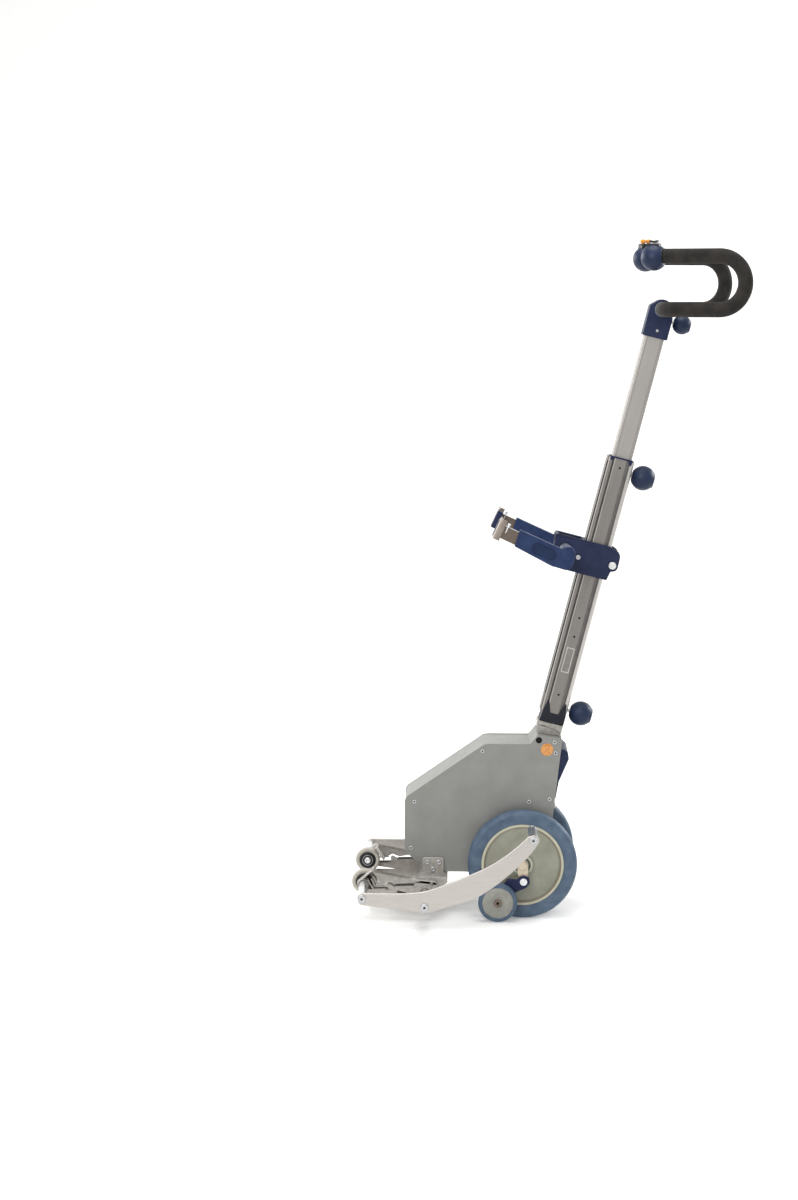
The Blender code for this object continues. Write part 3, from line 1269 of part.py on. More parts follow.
def build_column(base, mats):
    column = frame("column", base, (COLUMN_FOOT_X, 0, COLUMN_FOOT_Z), COLUMN_TILT)
    outer_column(column, mats)
    column_foot(column, mats)
    column_collar(column, mats)
    knob("lower_knob", column, mats, LOWER_KNOB_T, LOWER_KNOB_S, KNOB_RADIUS, column_faces()[1] - COLUMN_WALL)
    knob("column_knob", column, mats, COLUMN_KNOB_T, column_knob_s(), KNOB_RADIUS,
         INNER_OFFSET + INNER_DEPTH / 2 + GAP)
    slider = frame("inner slide", column)
    inner_tube(slider, mats)
    handle_head(slider, mats)
    knob("head_knob", slider, mats, HEAD_KNOB_T, HEAD_KNOB_S, HEAD_KNOB_RADIUS, HEAD_REAR - 0.012)
    handles = frame("handles", slider, (HANDLE_T, 0, HANDLE_S), -COLUMN_TILT)
    handle_tube(handles, mats)
    grips = {side: grip_ball(side, sign, handles, mats) for side, sign in SIDES.items()}
    buttons(*grips["right"], mats)
    mode_rocker(grips["left"][0], mats)
    carriage = frame("carriage", column)
    clamp_carriage(carriage, mats)
    clamp_tube(carriage, mats)
    carriage_pin(carriage, mats)
    for side, sign in SIDES.items():
        clamp_lever(side, sign, carriage, mats)


def main():
    clear_scene()
    mats = make_materials()
    base = frame("base", at=(AXLE_X, 0, 0))
    build_base(base, mats)
    build_column(base, mats)


main()
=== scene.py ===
# %% [markdown]
# # A portable stair climber, dressed for its portrait
#
# The machine climbs with a load held by its clamp and its platform. Its frame, wheels and joints
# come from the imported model; this file gives every surface its real finish and adds the small
# pieces that still show from a pace away: screws, grooves, ribs, seams and edge radii.
# All lengths are in metres unless a name ends in `_mm`.

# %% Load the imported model
import json
import math

import bmesh
import bpy
from mathutils import Matrix, Vector

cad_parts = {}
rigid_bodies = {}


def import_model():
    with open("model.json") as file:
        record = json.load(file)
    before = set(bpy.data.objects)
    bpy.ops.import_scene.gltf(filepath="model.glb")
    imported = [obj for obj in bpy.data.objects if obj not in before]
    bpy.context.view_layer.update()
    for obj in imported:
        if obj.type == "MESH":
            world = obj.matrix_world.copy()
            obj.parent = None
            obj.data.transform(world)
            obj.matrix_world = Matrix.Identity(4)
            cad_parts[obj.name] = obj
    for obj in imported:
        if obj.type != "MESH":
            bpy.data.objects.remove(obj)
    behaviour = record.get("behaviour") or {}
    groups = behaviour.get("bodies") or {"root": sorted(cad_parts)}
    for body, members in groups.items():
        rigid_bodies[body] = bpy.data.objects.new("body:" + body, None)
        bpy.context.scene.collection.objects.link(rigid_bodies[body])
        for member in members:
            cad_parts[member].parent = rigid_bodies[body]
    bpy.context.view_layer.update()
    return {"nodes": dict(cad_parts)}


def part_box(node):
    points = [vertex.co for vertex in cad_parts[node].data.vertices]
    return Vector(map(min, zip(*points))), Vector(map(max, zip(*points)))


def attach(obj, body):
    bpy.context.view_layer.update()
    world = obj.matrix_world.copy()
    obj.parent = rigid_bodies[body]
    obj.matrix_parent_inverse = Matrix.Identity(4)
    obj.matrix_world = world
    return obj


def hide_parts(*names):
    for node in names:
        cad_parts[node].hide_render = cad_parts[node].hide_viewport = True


for leftover in list(bpy.data.objects):
    bpy.data.objects.remove(leftover)
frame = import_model()
print("packed nodes:", len(frame["nodes"]))

# %% [markdown]
# ## The places that everything hangs on
#
# The machine is drawn from two reference frames, as its maker would draw it. One stands on the
# floor below the main axle. The other runs along the leaning column: `t` points from the column
# to the operator and `s` up along it. The axle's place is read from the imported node; the column's
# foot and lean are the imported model's own sizes. Pieces that touch keep a gap of 0.3 mm.

# %% Reference frames
def middle(node):
    """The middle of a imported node's box."""
    low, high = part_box(node)
    return (low + high) / 2


AXLE = middle("main_axle")
BASE = Matrix.Translation((AXLE.x, 0, 0))
COLUMN_TILT = math.radians(14.4)
COLUMN = Matrix.Translation((AXLE.x + 0.0535, 0, 0.405)) @ Matrix.Rotation(COLUMN_TILT, 4, "Y")
SIDES = {"left": -1, "right": 1}
GAP = 0.0003
print("axle at", [round(v, 4) for v in AXLE])

# %% [markdown]
# ## Colour and shader helpers
#
# A colour picker shows sRGB, but a shader computes with linear light, so every hex value goes
# through one function. Patterns are given by their real size: a noise of scale 1000 repeats
# about once a millimetre, so a grain of `g` mm needs the scale 1000 / g.

# %% One colour function and one node function
def linear(hex_colour):
    """The linear values of a colour written as sRGB hex."""
    channels = [int(hex_colour[i:i + 2], 16) / 255 for i in (0, 2, 4)]
    return tuple(c / 12.92 if c <= 0.04045 else ((c + 0.055) / 1.055) ** 2.4 for c in channels) + (1.0,)


def add(material, kind, settings=None, links=None):
    """Adds one shader node, with its settings and links; a link names an input and an output."""
    tree = material.node_tree
    made = tree.nodes.new("ShaderNode" + kind)
    for key, value in (settings or {}).items():
        if isinstance(key, str) and key not in made.inputs and hasattr(made, key):
            setattr(made, key, value)
        else:
            made.inputs[key].default_value = value
    for key, source in (links or {}).items():
        tree.links.new(source, made.inputs[key])
    return made


def finish_named(name, roughness, metallic=0.0, **shader_settings):
    """A new material with its Principled shader set to the finish's typical values."""
    made = bpy.data.materials.new(name)
    made.use_nodes = True
    shader = made.node_tree.nodes["Principled BSDF"]
    shader.inputs["Roughness"].default_value = roughness
    shader.inputs["Metallic"].default_value = metallic
    for key, value in shader_settings.items():
        shader.inputs[key.replace("_", " ")].default_value = value
    return made, shader


def place_of(material, stretch=(1, 1, 1)):
    """The piece's own coordinates in metres, squeezed along an axis to draw streaks."""
    where = add(material, "TexCoord").outputs["Object"]
    return add(material, "Mapping", {"Scale": stretch}, {"Vector": where}).outputs[0]


def grain(material, size_mm, where, detail=3.0, rough=0.55):
    """A noise whose grains are about this many millimetres across."""
    return add(material, "TexNoise", {"Scale": 1000 / size_mm, "Detail": detail, "Roughness": rough},
               {"Vector": where}).outputs["Fac"]


def tint(material, shader, dark, light, factor, low=0.35, high=0.65):
    """Base colour between two close shades, steered by a noise; its ends sit where the noise does."""
    ramp = add(material, "ValToRGB", None, {"Fac": factor})
    for end, at, shade in zip(ramp.color_ramp.elements, (low, high), (dark, light)):
        end.position = at
        end.color = linear(shade)
    material.node_tree.links.new(ramp.outputs["Color"], shader.inputs["Base Color"])
    return ramp


def sheen_range(material, shader, factor, low, high):
    """Roughness that wanders between two values, as handling and moulding leave it."""
    spread = add(material, "MapRange", {"From Min": 0.3, "From Max": 0.7, "To Min": low, "To Max": high},
                 {"Value": factor})
    material.node_tree.links.new(spread.outputs[0], shader.inputs["Roughness"])


def relief(material, shader, height, depth_mm, strength=1.0, under=None):
    """Bump of a real depth; `under` is a coarser bump that it lies on."""
    links = {"Height": height}
    if under is not None:
        links["Normal"] = under
    bump = add(material, "Bump", {"Strength": strength, "Distance": depth_mm / 1000}, links)
    material.node_tree.links.new(bump.outputs[0], shader.inputs["Normal"])
    return bump.outputs[0]


# %% [markdown]
# ## Painted and bare metals
#
# The drive box is folded steel sheet with a textured powder coat: the powder melts into a fine
# orange peel of about 0.8 mm, drawn here as a noise. Cast parts are aluminium, bead blasted, so
# their grain is coarser and their gloss broken. Extrusions and the platform plates are anodised:
# extruding and brushing leave long fine streaks, made by squeezing a noise along the piece.

# %% Metal finishes
def powder_coat():
    """Grey powder coated steel: satin, with a fine orange peel."""
    made, shader = finish_named("Powder coated steel", 0.45, 0.0)
    where = place_of(made)
    tint(made, shader, "82827E", "8A8A86", grain(made, 60, where, 4))
    peel = grain(made, 0.9, where, 2)
    sheen_range(made, shader, grain(made, 18, where, 5), 0.40, 0.52)
    relief(made, shader, peel, 0.05, 0.5)
    return made


def blasted_casting():
    """Bead blasted cast aluminium: pale, rough and a little blotchy from the mould."""
    made, shader = finish_named("Blasted cast aluminium", 0.5, 0.75)
    where = place_of(made)
    tint(made, shader, "98948F", "AEAAA5", grain(made, 9, where, 6))
    sheen_range(made, shader, grain(made, 5, where, 5), 0.46, 0.62)
    coarse = relief(made, shader, grain(made, 6, where, 3), 0.25, 0.4)
    relief(made, shader, grain(made, 0.7, where, 2), 0.08, 0.6, coarse)
    return made


def anodised(name, dark, light, roughness, stretch, streak_mm=1.2):
    """Matt anodised aluminium with the long streaks that extruding or brushing leaves."""
    made, shader = finish_named(name, roughness, 0.85)
    streaks = grain(made, streak_mm, place_of(made, stretch), 4, 0.65)
    tint(made, shader, dark, light, streaks)
    sheen_range(made, shader, streaks, roughness - 0.06, roughness + 0.10)
    relief(made, shader, streaks, 0.02, 0.35)
    return made


def zinc_plate(name="Bright zinc plated steel", dark="A5A7AA", light="C2C3C4"):
    """Zinc plated steel of bolts and tubes: bright, with faint turning marks."""
    made, shader = finish_named(name, 0.28, 1.0)
    marks = grain(made, 0.8, place_of(made, (1, 0.25, 1)), 4)
    tint(made, shader, dark, light, marks)
    sheen_range(made, shader, marks, 0.22, 0.36)
    relief(made, shader, marks, 0.01, 0.4)
    return made


def beige_enamel():
    """The links' beige enamel, slightly stained where grease crept out of the hub."""
    made, shader = finish_named("Beige enamel", 0.42, 0.1)
    where = place_of(made)
    ramp = tint(made, shader, "A68F6B", "CDBFA9", grain(made, 14, where, 5), 0.28, 0.50)
    ramp.color_ramp.interpolation = "EASE"
    relief(made, shader, grain(made, 1.2, where, 2), 0.04, 0.4)
    return made


def tin_bronze():
    """Turned and hobbed bronze of the worm wheel."""
    made, shader = finish_named("Tin bronze", 0.33, 1.0)
    marks = grain(made, 0.5, place_of(made, (1, 0.3, 1)), 3)
    tint(made, shader, "A67F48", "BF9A5E", marks)
    relief(made, shader, marks, 0.01, 0.3)
    return made


COAT = powder_coat()
CASTING = blasted_casting()
EXTRUSION = anodised("Anodised extrusion", "7B7773", "84807C", 0.42, (1, 1, 0.02))
INNER_TUBE = anodised("Anodised inner tube", "97938F", "9F9B97", 0.44, (1, 1, 0.02))
BRUSHED_PLATE = anodised("Brushed anodised plate", "B0ABA7", "BCB7B3", 0.38, (0.03, 1, 1), 0.9)
HOOK_METAL = anodised("Brushed hook steel", "82786F", "968C83", 0.34, (0.04, 1, 1), 0.8)
# Painted reflection: the bar steel's brown tint stands for the brown surroundings it mirrors.
BAR_METAL = anodised("Bar steel with painted brown reflection", "5F554D", "6F655C", 0.42, (0.04, 1, 1), 0.8)
ZINC = zinc_plate()
BRIGHT = zinc_plate("Polished steel tube", "D2D3D4", "E4E5E6")
BROWNED = zinc_plate("Browned bolt steel", "63584F", "7B6E64")
ENAMEL = beige_enamel()
BRONZE = tin_bronze()
print("metals:", [m.name
                  for m in (COAT, CASTING, EXTRUSION, BRUSHED_PLATE, HOOK_METAL, ZINC, ENAMEL, BRONZE)])

# %% [markdown]
# ## Plastics, rubber and foam
#
# Knobs, levers and covers are glass filled nylon, coloured through. Spark eroded moulds leave an
# even matt texture of about 0.4 mm, coarser here so that it still shows a step away. The grips are
# cellular rubber foam: very matt, open pored. The tyres are non marking rubber, whose sidewalls
# shine a little where hands and mould have polished them.

# %% Plastic and rubber finishes
def moulded_nylon(name, dark, light, roughness=0.46, texture_mm=0.7):
    """Glass filled nylon from a textured mould, a little paler where it has been handled."""
    made, shader = finish_named(name, roughness, 0.0, IOR=1.53, Specular_IOR_Level=0.22)
    where = place_of(made)
    tint(made, shader, dark, light, grain(made, 26, where, 5))
    sheen_range(made, shader, grain(made, 12, where, 4), roughness - 0.06, roughness + 0.08)
    relief(made, shader, grain(made, texture_mm, where, 2), 0.04, 0.5)
    return made


def cellular_foam():
    """Black EPDM foam of the grips: open pores of half a millimetre and no shine."""
    made, shader = finish_named("EPDM foam", 0.88, 0.0, IOR=1.5, Specular_IOR_Level=0.15, Sheen_Weight=0.05)
    where = place_of(made)
    tint(made, shader, "262423", "34312E", grain(made, 30, where, 5))
    pores = add(made, "TexVoronoi", {"Scale": 1000 / 0.9}, {"Vector": where}).outputs["Distance"]
    soft = relief(made, shader, grain(made, 7, where, 3), 0.25, 0.35)
    relief(made, shader, pores, 0.15, 0.6, soft)
    return made


def tyre_rubber():
    """Blue grey non marking rubber: satin, with faint scuffs."""
    made, shader = finish_named("Non marking rubber", 0.50, 0.0, IOR=1.52, Specular_IOR_Level=0.3)
    where = place_of(made)
    tint(made, shader, "47596D", "586A7E", grain(made, 22, where, 6))
    sheen_range(made, shader, grain(made, 9, where, 5), 0.40, 0.58)
    relief(made, shader, grain(made, 0.8, where, 3), 0.05, 0.5)
    return made


def cast_polyamide():
    """Olive grey cast polyamide of the wheel discs: waxy, a little light passes into it."""
    made, shader = finish_named("Cast polyamide", 0.34, 0.0, IOR=1.53, Subsurface_Weight=0.08,
                                Subsurface_Scale=0.004, Coat_Weight=0.15, Coat_Roughness=0.2)
    where = place_of(made)
    tint(made, shader, "848474", "969687", grain(made, 45, where, 5))
    relief(made, shader, grain(made, 1.5, where, 3), 0.04, 0.4)
    return made


def plain_plastic(name, dark, light, roughness, grain_mm=1.0):
    """Smooth moulded or lacquered plastic with a fine, even grain."""
    made, shader = finish_named(name, roughness, 0.0, IOR=1.5, Specular_IOR_Level=0.25)
    where = place_of(made)
    tint(made, shader, dark, light, grain(made, 15, where, 4))
    relief(made, shader, grain(made, grain_mm, where, 2), 0.04, 0.45)
    return made


def vinyl_sticker():
    """Glossy vinyl: the plain orange warning dot on the side plate, with no sign on it."""
    made, shader = finish_named("Orange vinyl", 0.30, 0.0, IOR=1.5, Specular_IOR_Level=0.25)
    where = place_of(made)
    tint(made, shader, "C8823F", "E0A368", grain(made, 6, where, 5))
    relief(made, shader, grain(made, 3, where, 2), 0.05, 0.3)
    return made


NAVY = moulded_nylon("Dark blue nylon", "161F3B", "1F2947")
FOOT_NAVY = moulded_nylon("Black blue nylon", "13151F", "1B1E29")
ARM_NAVY = moulded_nylon("Blue black nylon", "131A3C", "1B234A")
KNOB_NAVY = moulded_nylon("Dark blue knob nylon", "18233B", "212E49", 0.42)
BALL_BLUE = moulded_nylon("Blue nylon ball", "1B263F", "24314D", 0.40)
LEVER_BLUE = moulded_nylon("Blue nylon", "1B2B4F", "23355B", 0.42)
# Painted shade: a darker blue laid in the levers' oval recess.
RECESS_SHADE_BLUE = moulded_nylon("Blue painted shade of the lever's recess", "0F203F", "152849", 0.60)
FOAM = cellular_foam()
RUBBER = tyre_rubber()
POLYAMIDE = cast_polyamide()
BRAKE_DISC = plain_plastic("Grey polyamide", "93938D", "A3A39C", 0.46)
# Cream: the disc edge's own colour, and a painted highlight on the hub's boss.
RIM_CREAM = plain_plastic("Cream of the disc edge and hub highlight", "B7B5A0", "C6C4B0", 0.38)
ROLLER_WHITE = plain_plastic("Off white polyurethane", "AFABA1", "BEBAB0", 0.42)
BLACK_PLASTIC = plain_plastic("Black ABS", "191A1C", "232427", 0.42)
GREY_PLASTIC = plain_plastic("Grey ABS", "6B7476", "7C8587", 0.40)
BUTTON_ORANGE = plain_plastic("Orange silicone", "E08A2C", "EFA24A", 0.42)
POTTING = plain_plastic("Potting resin", "26352E", "2F4038", 0.35)
CELL_WRAP = plain_plastic("Grey battery case", "6F7577", "7B8183", 0.5)
STICKER = vinyl_sticker()
# Painted highlight: a bright anodising for thin strips on the column's edges and rear corner.
PAINTED_HIGHLIGHT = anodised("Anodising with painted highlight", "B6B2AE", "C4C0BC", 0.36, (1, 1, 0.02))
# Painted shade: dark strips in the column's groove and on its sloping face.
GROOVE_SHADE = plain_plastic("Painted shade in the extrusion's groove", "4C4A48", "585653", 0.6)
SLOPE_SHADE = plain_plastic("Painted shade on the extrusion's slope", "636160", "6F6D6A", 0.5)
# Painted shade: the dark inside bores and recesses, laid in as thin discs.
BORE_SHADE = plain_plastic("Painted shade of bores", "0D0D0E", "151516", 0.8)
HUB_SEAL = plain_plastic("Grey green seal", "454B44", "535951", 0.5)
print("plastics and rubbers:", len([m for m in bpy.data.materials if m.use_nodes]))

# %% [markdown]
# ## Shape helpers
#
# Nearly every part of the machine is a plate, a turned piece or a bent tube, so three builders
# make them. A real edge is never sharp: it catches a thin line of light. The plate builder
# therefore rolls each edge over a small radius, and marks where the flat faces end, so that the
# flats stay flat in the shading.

# %% Outlines
def arc_points(start, end, centre, steps):
    """Points of the short arc from start to end about a centre, both ends included."""
    turn = math.atan2(start.cross(end), start.dot(end))
    return [centre + Matrix.Rotation(turn * k / steps, 2) @ start for k in range(steps + 1)]


def rounded(corners, steps=6, closed=True):
    """An outline from corners (u, v, radius); each radius becomes an arc."""
    points = []
    last = len(corners) - 1
    for i, (u, v, *more) in enumerate(corners):
        radius = more[0] if more else 0
        here = Vector((u, v))
        if radius <= 0 or (not closed and i in (0, last)):
            points.append(here)
            continue
        before = (Vector(corners[i - 1][:2]) - here).normalized()
        after = (Vector(corners[(i + 1) % len(corners)][:2]) - here).normalized()
        half = before.angle(after) / 2
        centre = here + (before + after).normalized() * (radius / math.sin(half))
        reach = radius / math.tan(half)
        points += arc_points(here + before * reach - centre, here + after * reach - centre, centre, steps)
    return points


def circle(u, v, radius, steps=24):
    """A round outline about a centre."""
    turns = [2 * math.pi * k / steps for k in range(steps)]
    return [Vector((u + radius * math.cos(a), v + radius * math.sin(a))) for a in turns]


def box_outline(u0, v0, u1, v1, radius=0.0, steps=4):
    """A rectangle between two corners, with rounded corners if it has a radius."""
    return rounded([(u0, v0, radius), (u1, v0, radius), (u1, v1, radius), (u0, v1, radius)], steps)


def bar_outline(start, end, start_radius, end_radius, steps=16):
    """A flat bar with round ends of two sizes, between two centres."""
    way = Vector(end) - Vector(start)
    angle = math.atan2(way.y, way.x)
    lean = math.acos((start_radius - end_radius) / way.length)
    turns = [(start, start_radius, angle + lean, 2 * math.pi - 2 * lean),
             (end, end_radius, angle - lean, 2 * lean)]
    return [Vector(at) + Vector((math.cos(a), math.sin(a))) * radius
            for at, radius, first, sweep in turns
            for a in (first + sweep * k / steps for k in range(steps + 1))]


def area(loop):
    """The signed area of an outline: above zero where it runs to the left."""
    return sum(a.cross(b) for a, b in zip(loop, loop[1:] + loop[:1])) / 2


def inset(loop, distance):
    """The loop moved to its left by a distance, with mitred corners."""
    moved = []
    for i, here in enumerate(loop):
        sides = [(here - loop[i - 1]).normalized(), (loop[(i + 1) % len(loop)] - here).normalized()]
        normals = [Vector((-way.y, way.x)) for way in sides]
        mitre = (normals[0] + normals[1]).normalized()
        moved.append(here + mitre * (distance / max(mitre.dot(normals[0]), 0.3)))
    return moved


def cleaned(loop, turn):
    """Vectors without repeats, running to the left (turn 1) or to the right (turn -1)."""
    points = [Vector(p) for p in loop]
    points = [p for i, p in enumerate(points) if (p - points[i - 1]).length > 1e-6]
    return points if area(points) * turn > 0 else points[::-1]


# %% Plates with rolled edges
ON_AXIS = {"X": lambda u, v, d: (d, u, v), "Y": lambda u, v, d: (u, d, v), "Z": lambda u, v, d: (u, v, d)}
SMOOTH_ANGLE = math.radians(32)


def slab(outline, start, end, axis="Y", holes=(), edge=0.0005, steps=3, bm=None):
    """A flat outline with holes, given a thickness between two depths and rolled edges."""
    bm = bm or bmesh.new()
    start, end = sorted((start, end))
    edge = min(edge, (end - start) / 2.02)
    turns = [math.pi / 2 * k / steps for k in range(steps + 1)] if edge > 0 else [math.pi / 2]
    rings = [(edge * (1 - math.sin(a)), start + edge * (1 - math.cos(a))) for a in turns]
    rings += [(shift, start + end - depth) for shift, depth in reversed(rings)]
    caps = ([], [])
    for loop in [cleaned(outline, 1), *[cleaned(hole, -1) for hole in holes]]:
        drawn = [[bm.verts.new(ON_AXIS[axis](p.x, p.y, depth)) for p in inset(loop, shift)]
                 for shift, depth in rings]
        for near, far in zip(drawn, drawn[1:]):
            for k in range(len(loop)):
                bm.faces.new((near[k - 1], near[k], far[k], far[k - 1]))
        for cap, ring in zip(caps, (drawn[0], drawn[-1])):
            cap += [bm.edges.get((ring[k - 1], ring[k])) for k in range(len(ring))]
        for ring in (drawn[0], drawn[len(turns) - 1], drawn[len(turns)], drawn[-1]):
            for k in range(len(ring)):
                bm.edges.get((ring[k - 1], ring[k])).smooth = False
    for cap in caps:
        bmesh.ops.triangle_fill(bm, use_beauty=True, use_dissolve=False, edges=cap)
    return bm


# %% Turned pieces and bent tubes
def lathe(profile, axis="Y", steps=64, centre=(0, 0, 0), soft=0.0, bm=None):
    """A turned solid from (radius, height) corners; a profile off the axis closes into a ring."""
    bm = bm or bmesh.new()
    closed = profile[0][0] > 0
    corners = [(*p[:2], p[2] if len(p) > 2 else soft) for p in profile]
    points = cleaned(rounded(corners, 4, closed), 1) if closed else rounded(corners, 4, False)
    along = Vector({"X": (1, 0, 0), "Y": (0, 1, 0), "Z": (0, 0, 1)}[axis])
    across = Vector((0, 1, 0)) if axis == "X" else Vector((1, 0, 0))
    before = set(bm.verts)
    verts = [bm.verts.new(across * p.x + along * p.y + Vector(centre)) for p in points]
    pairs = list(zip(verts, verts[1:])) + ([(verts[-1], verts[0])] if closed else [])
    edges = [bm.edges.new(pair) for pair in pairs]
    bmesh.ops.spin(bm, geom=verts + edges, axis=along, cent=centre, angle=2 * math.pi, steps=steps,
                   use_merge=True)
    fresh = [v for v in bm.verts if v not in before]
    bmesh.ops.remove_doubles(bm, verts=fresh, dist=1e-6)
    return bm


def rod(radius, start, end, axis="Y", centre=(0, 0, 0), soft=0.0005, steps=32, bm=None):
    """A turned rod between two depths, with rolled ends."""
    start, end = sorted((start, end))
    return lathe([(0, start), (radius, start), (radius, end), (0, end)], axis, steps, centre, soft, bm)


def sweep(path, outer, inner=0.0, sides=32, soft=0.0006, steps=3):
    """A bent rod, or with an inner radius a bent pipe, along a route; its ends are rolled."""
    up = Vector((0, 0, 1)).cross((path[1] - path[0]).normalized())
    up = up if up.length > 0.1 else Vector((1, 0, 0))
    frames = []
    for i, point in enumerate(path):
        along = (path[min(i + 1, len(path) - 1)] - path[max(i - 1, 0)]).normalized()
        up = (up - along * up.dot(along)).normalized()
        frames.append((point, up, along.cross(up), along))
    roll = [(outer - soft * (1 - math.sin(a)), soft * (1 - math.cos(a)))
            for a in (math.pi / 2 * k / steps for k in range(steps + 1))]
    stations = [(frames[0], radius, shift) for radius, shift in roll]
    stations += [(place, outer, 0) for place in frames[1:-1]]
    stations += [(frames[-1], radius, -shift) for radius, shift in reversed(roll)]
    if inner > 0:
        stations += [(place, inner, 0) for place in reversed(frames)]
    bm = bmesh.new()
    turns = [2 * math.pi * k / sides for k in range(sides)]
    rings = [[bm.verts.new(point + along * shift + (up * math.cos(a) + side * math.sin(a)) * radius)
              for a in turns]
             for (point, up, side, along), radius, shift in stations]
    pairs = list(zip(rings, rings[1:])) + ([(rings[-1], rings[0])] if inner > 0 else [])
    for near, far in pairs:
        for k in range(sides):
            bm.faces.new((near[k - 1], near[k], far[k], far[k - 1]))
    if inner <= 0:
        bm.faces.new(rings[0][::-1])
        bm.faces.new(rings[-1])
    return bm


def joined(*meshes):
    """Several bodies as one bmesh."""
    whole = bmesh.new()
    for bm in meshes:
        mesh = bpy.data.meshes.new("part")
        bm.to_mesh(mesh)
        bm.free()
        whole.from_mesh(mesh)
        bpy.data.meshes.remove(mesh)
    return whole


def moved(bm, matrix):
    """The same bmesh after a matrix has moved it."""
    bmesh.ops.transform(bm, matrix=matrix, verts=bm.verts)
    return bm


# %% From mesh to piece
def fit(name, bm, finish, body, place=None, stands_for=()):
    """Makes the named piece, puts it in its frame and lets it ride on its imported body."""
    bmesh.ops.recalc_face_normals(bm, faces=bm.faces)
    for face in bm.faces:
        face.smooth = True
    for edge in bm.edges:
        if len(edge.link_faces) == 2 and edge.calc_face_angle(0) > SMOOTH_ANGLE:
            edge.smooth = False
    mesh = bpy.data.meshes.new(name)
    bm.to_mesh(mesh)
    bm.free()
    mesh.materials.append(finish)
    made = bpy.data.objects.new(name, mesh)
    bpy.context.collection.objects.link(made)
    made.matrix_world = place or BASE
    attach(made, body)
    if stands_for:
        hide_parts(*stands_for)
    return made


def carve(target, *tools):
    """Cuts bmesh tools, drawn in the target's own frame, out of a finished piece."""
    mesh = bpy.data.meshes.new("tool")
    whole = joined(*tools)
    bmesh.ops.recalc_face_normals(whole, faces=whole.faces)
    whole.to_mesh(mesh)
    whole.free()
    tool = bpy.data.objects.new("tool", mesh)
    bpy.context.collection.objects.link(tool)
    tool.matrix_world = target.matrix_world
    change = target.modifiers.new("cut", "BOOLEAN")
    change.operation, change.solver, change.object = "DIFFERENCE", "EXACT", tool
    bpy.context.view_layer.update()
    result = bpy.data.meshes.new_from_object(target.evaluated_get(bpy.context.evaluated_depsgraph_get()))
    old, target.data = target.data, result
    target.modifiers.clear()
    bpy.data.objects.remove(tool)
    for unused in (mesh, old):
        bpy.data.meshes.remove(unused)
    bm = bmesh.new()
    bm.from_mesh(result)
    for edge in bm.edges:
        if len(edge.link_faces) == 2 and edge.calc_face_angle(0) > SMOOTH_ANGLE:
            edge.smooth = False
    bm.to_mesh(result)
    bm.free()
    return target


def mirror_y(bm):
    """The other hand of a piece drawn for one side."""
    bmesh.ops.scale(bm, vec=(1, -1, 1), verts=bm.verts)
    bmesh.ops.reverse_faces(bm, faces=bm.faces)
    return bm


def both_halves(half):
    """A symmetric profile from the corners (radius, y) of its half at +y."""
    return [(r, -y, *more) for r, y, *more in half] + half[::-1]


def ring_pair(profile, y, steps=64, soft=0.0, x=0.0, z=0.0):
    """A turned ring at y, and its mirror image at -y."""
    rings = [lathe(profile, steps=steps, centre=(x, y, z), soft=soft) for _ in range(2)]
    return joined(rings[0], mirror_y(rings[1]))


def socket_head(radius, height, recess, centre=(0, 0, 0), sign=1):
    """A screw head with an internal hexagon, its base at the centre, looking along +Y or -Y."""
    hexagon = circle(0, 0, recess, 6)
    bm = slab(circle(0, 0, radius, 40), 0, height, holes=[hexagon], edge=height * 0.35)
    rod(recess * 1.15, 0, height * 0.3, soft=0, bm=bm)
    return moved(bm, Matrix.Translation(centre) @ Matrix.Diagonal((1, sign, 1, 1)))


def painted_recess_shade(places, radius, height=0.0006):
    """Thin dark discs that paint the shade inside bores and hexagon recesses; a place has its side's sign.
    """
    discs = [moved(rod(radius, -height, 0, soft=0, steps=24),
                   Matrix.Translation(at_point) @ Matrix.Diagonal((1, sign, 1, 1)))
             for at_point, sign in places]
    return joined(*discs)


def at(x, y, z):
    """A place in the base frame, as a matrix."""
    return BASE @ Matrix.Translation((x, y, z))


print("helpers ready")

# %% [markdown]
# ## The drive box
#
# On the real machine two cut steel sides close a folded sheet. The sheet's top is a little lower
# than the sides, so their cut edge shows as a bright line. The sides are plates from one outline;
# the sheet is the same idea drawn from its folded line, thickened to one side.

# %% Side plates and their screws
HALF_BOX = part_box("side_plate_right")[1].y
AXLE_Z = AXLE.z
PLATE = 0.003
PLATE_CORNERS = [
    (0.0320, 0.4085, 0.005), (0.0165, 0.3885, 0.006), (-0.0850, 0.3885, 0.030), (-0.2640, 0.2650, 0.020),
    (-0.2640, 0.1420, 0.020), (-0.2080, 0.0960, 0.015), (-0.1300, 0.0960, 0.020), (-0.0350, 0.0880, 0.020),
    (0.0350, 0.0880, 0.020), (0.0600, 0.1540, 0.020), (0.0884, 0.4004, 0.009),
]
TUBE_RADIUS = 0.010
AXLE_HOLE = circle(0, AXLE_Z, TUBE_RADIUS + GAP, 32)
PEEP_AT = (0.0359, 0.3970)
PEEP_HOLE = circle(*PEEP_AT, 0.0070, 32)
SCREW_PLACES = [(0.0707, 0.3928), (0.0731, 0.3683), (0.0604, 0.2633), (0.0146, 0.2567), (-0.0900, 0.3720),
                (-0.2420, 0.2560), (-0.2500, 0.1500), (-0.1950, 0.1080)]

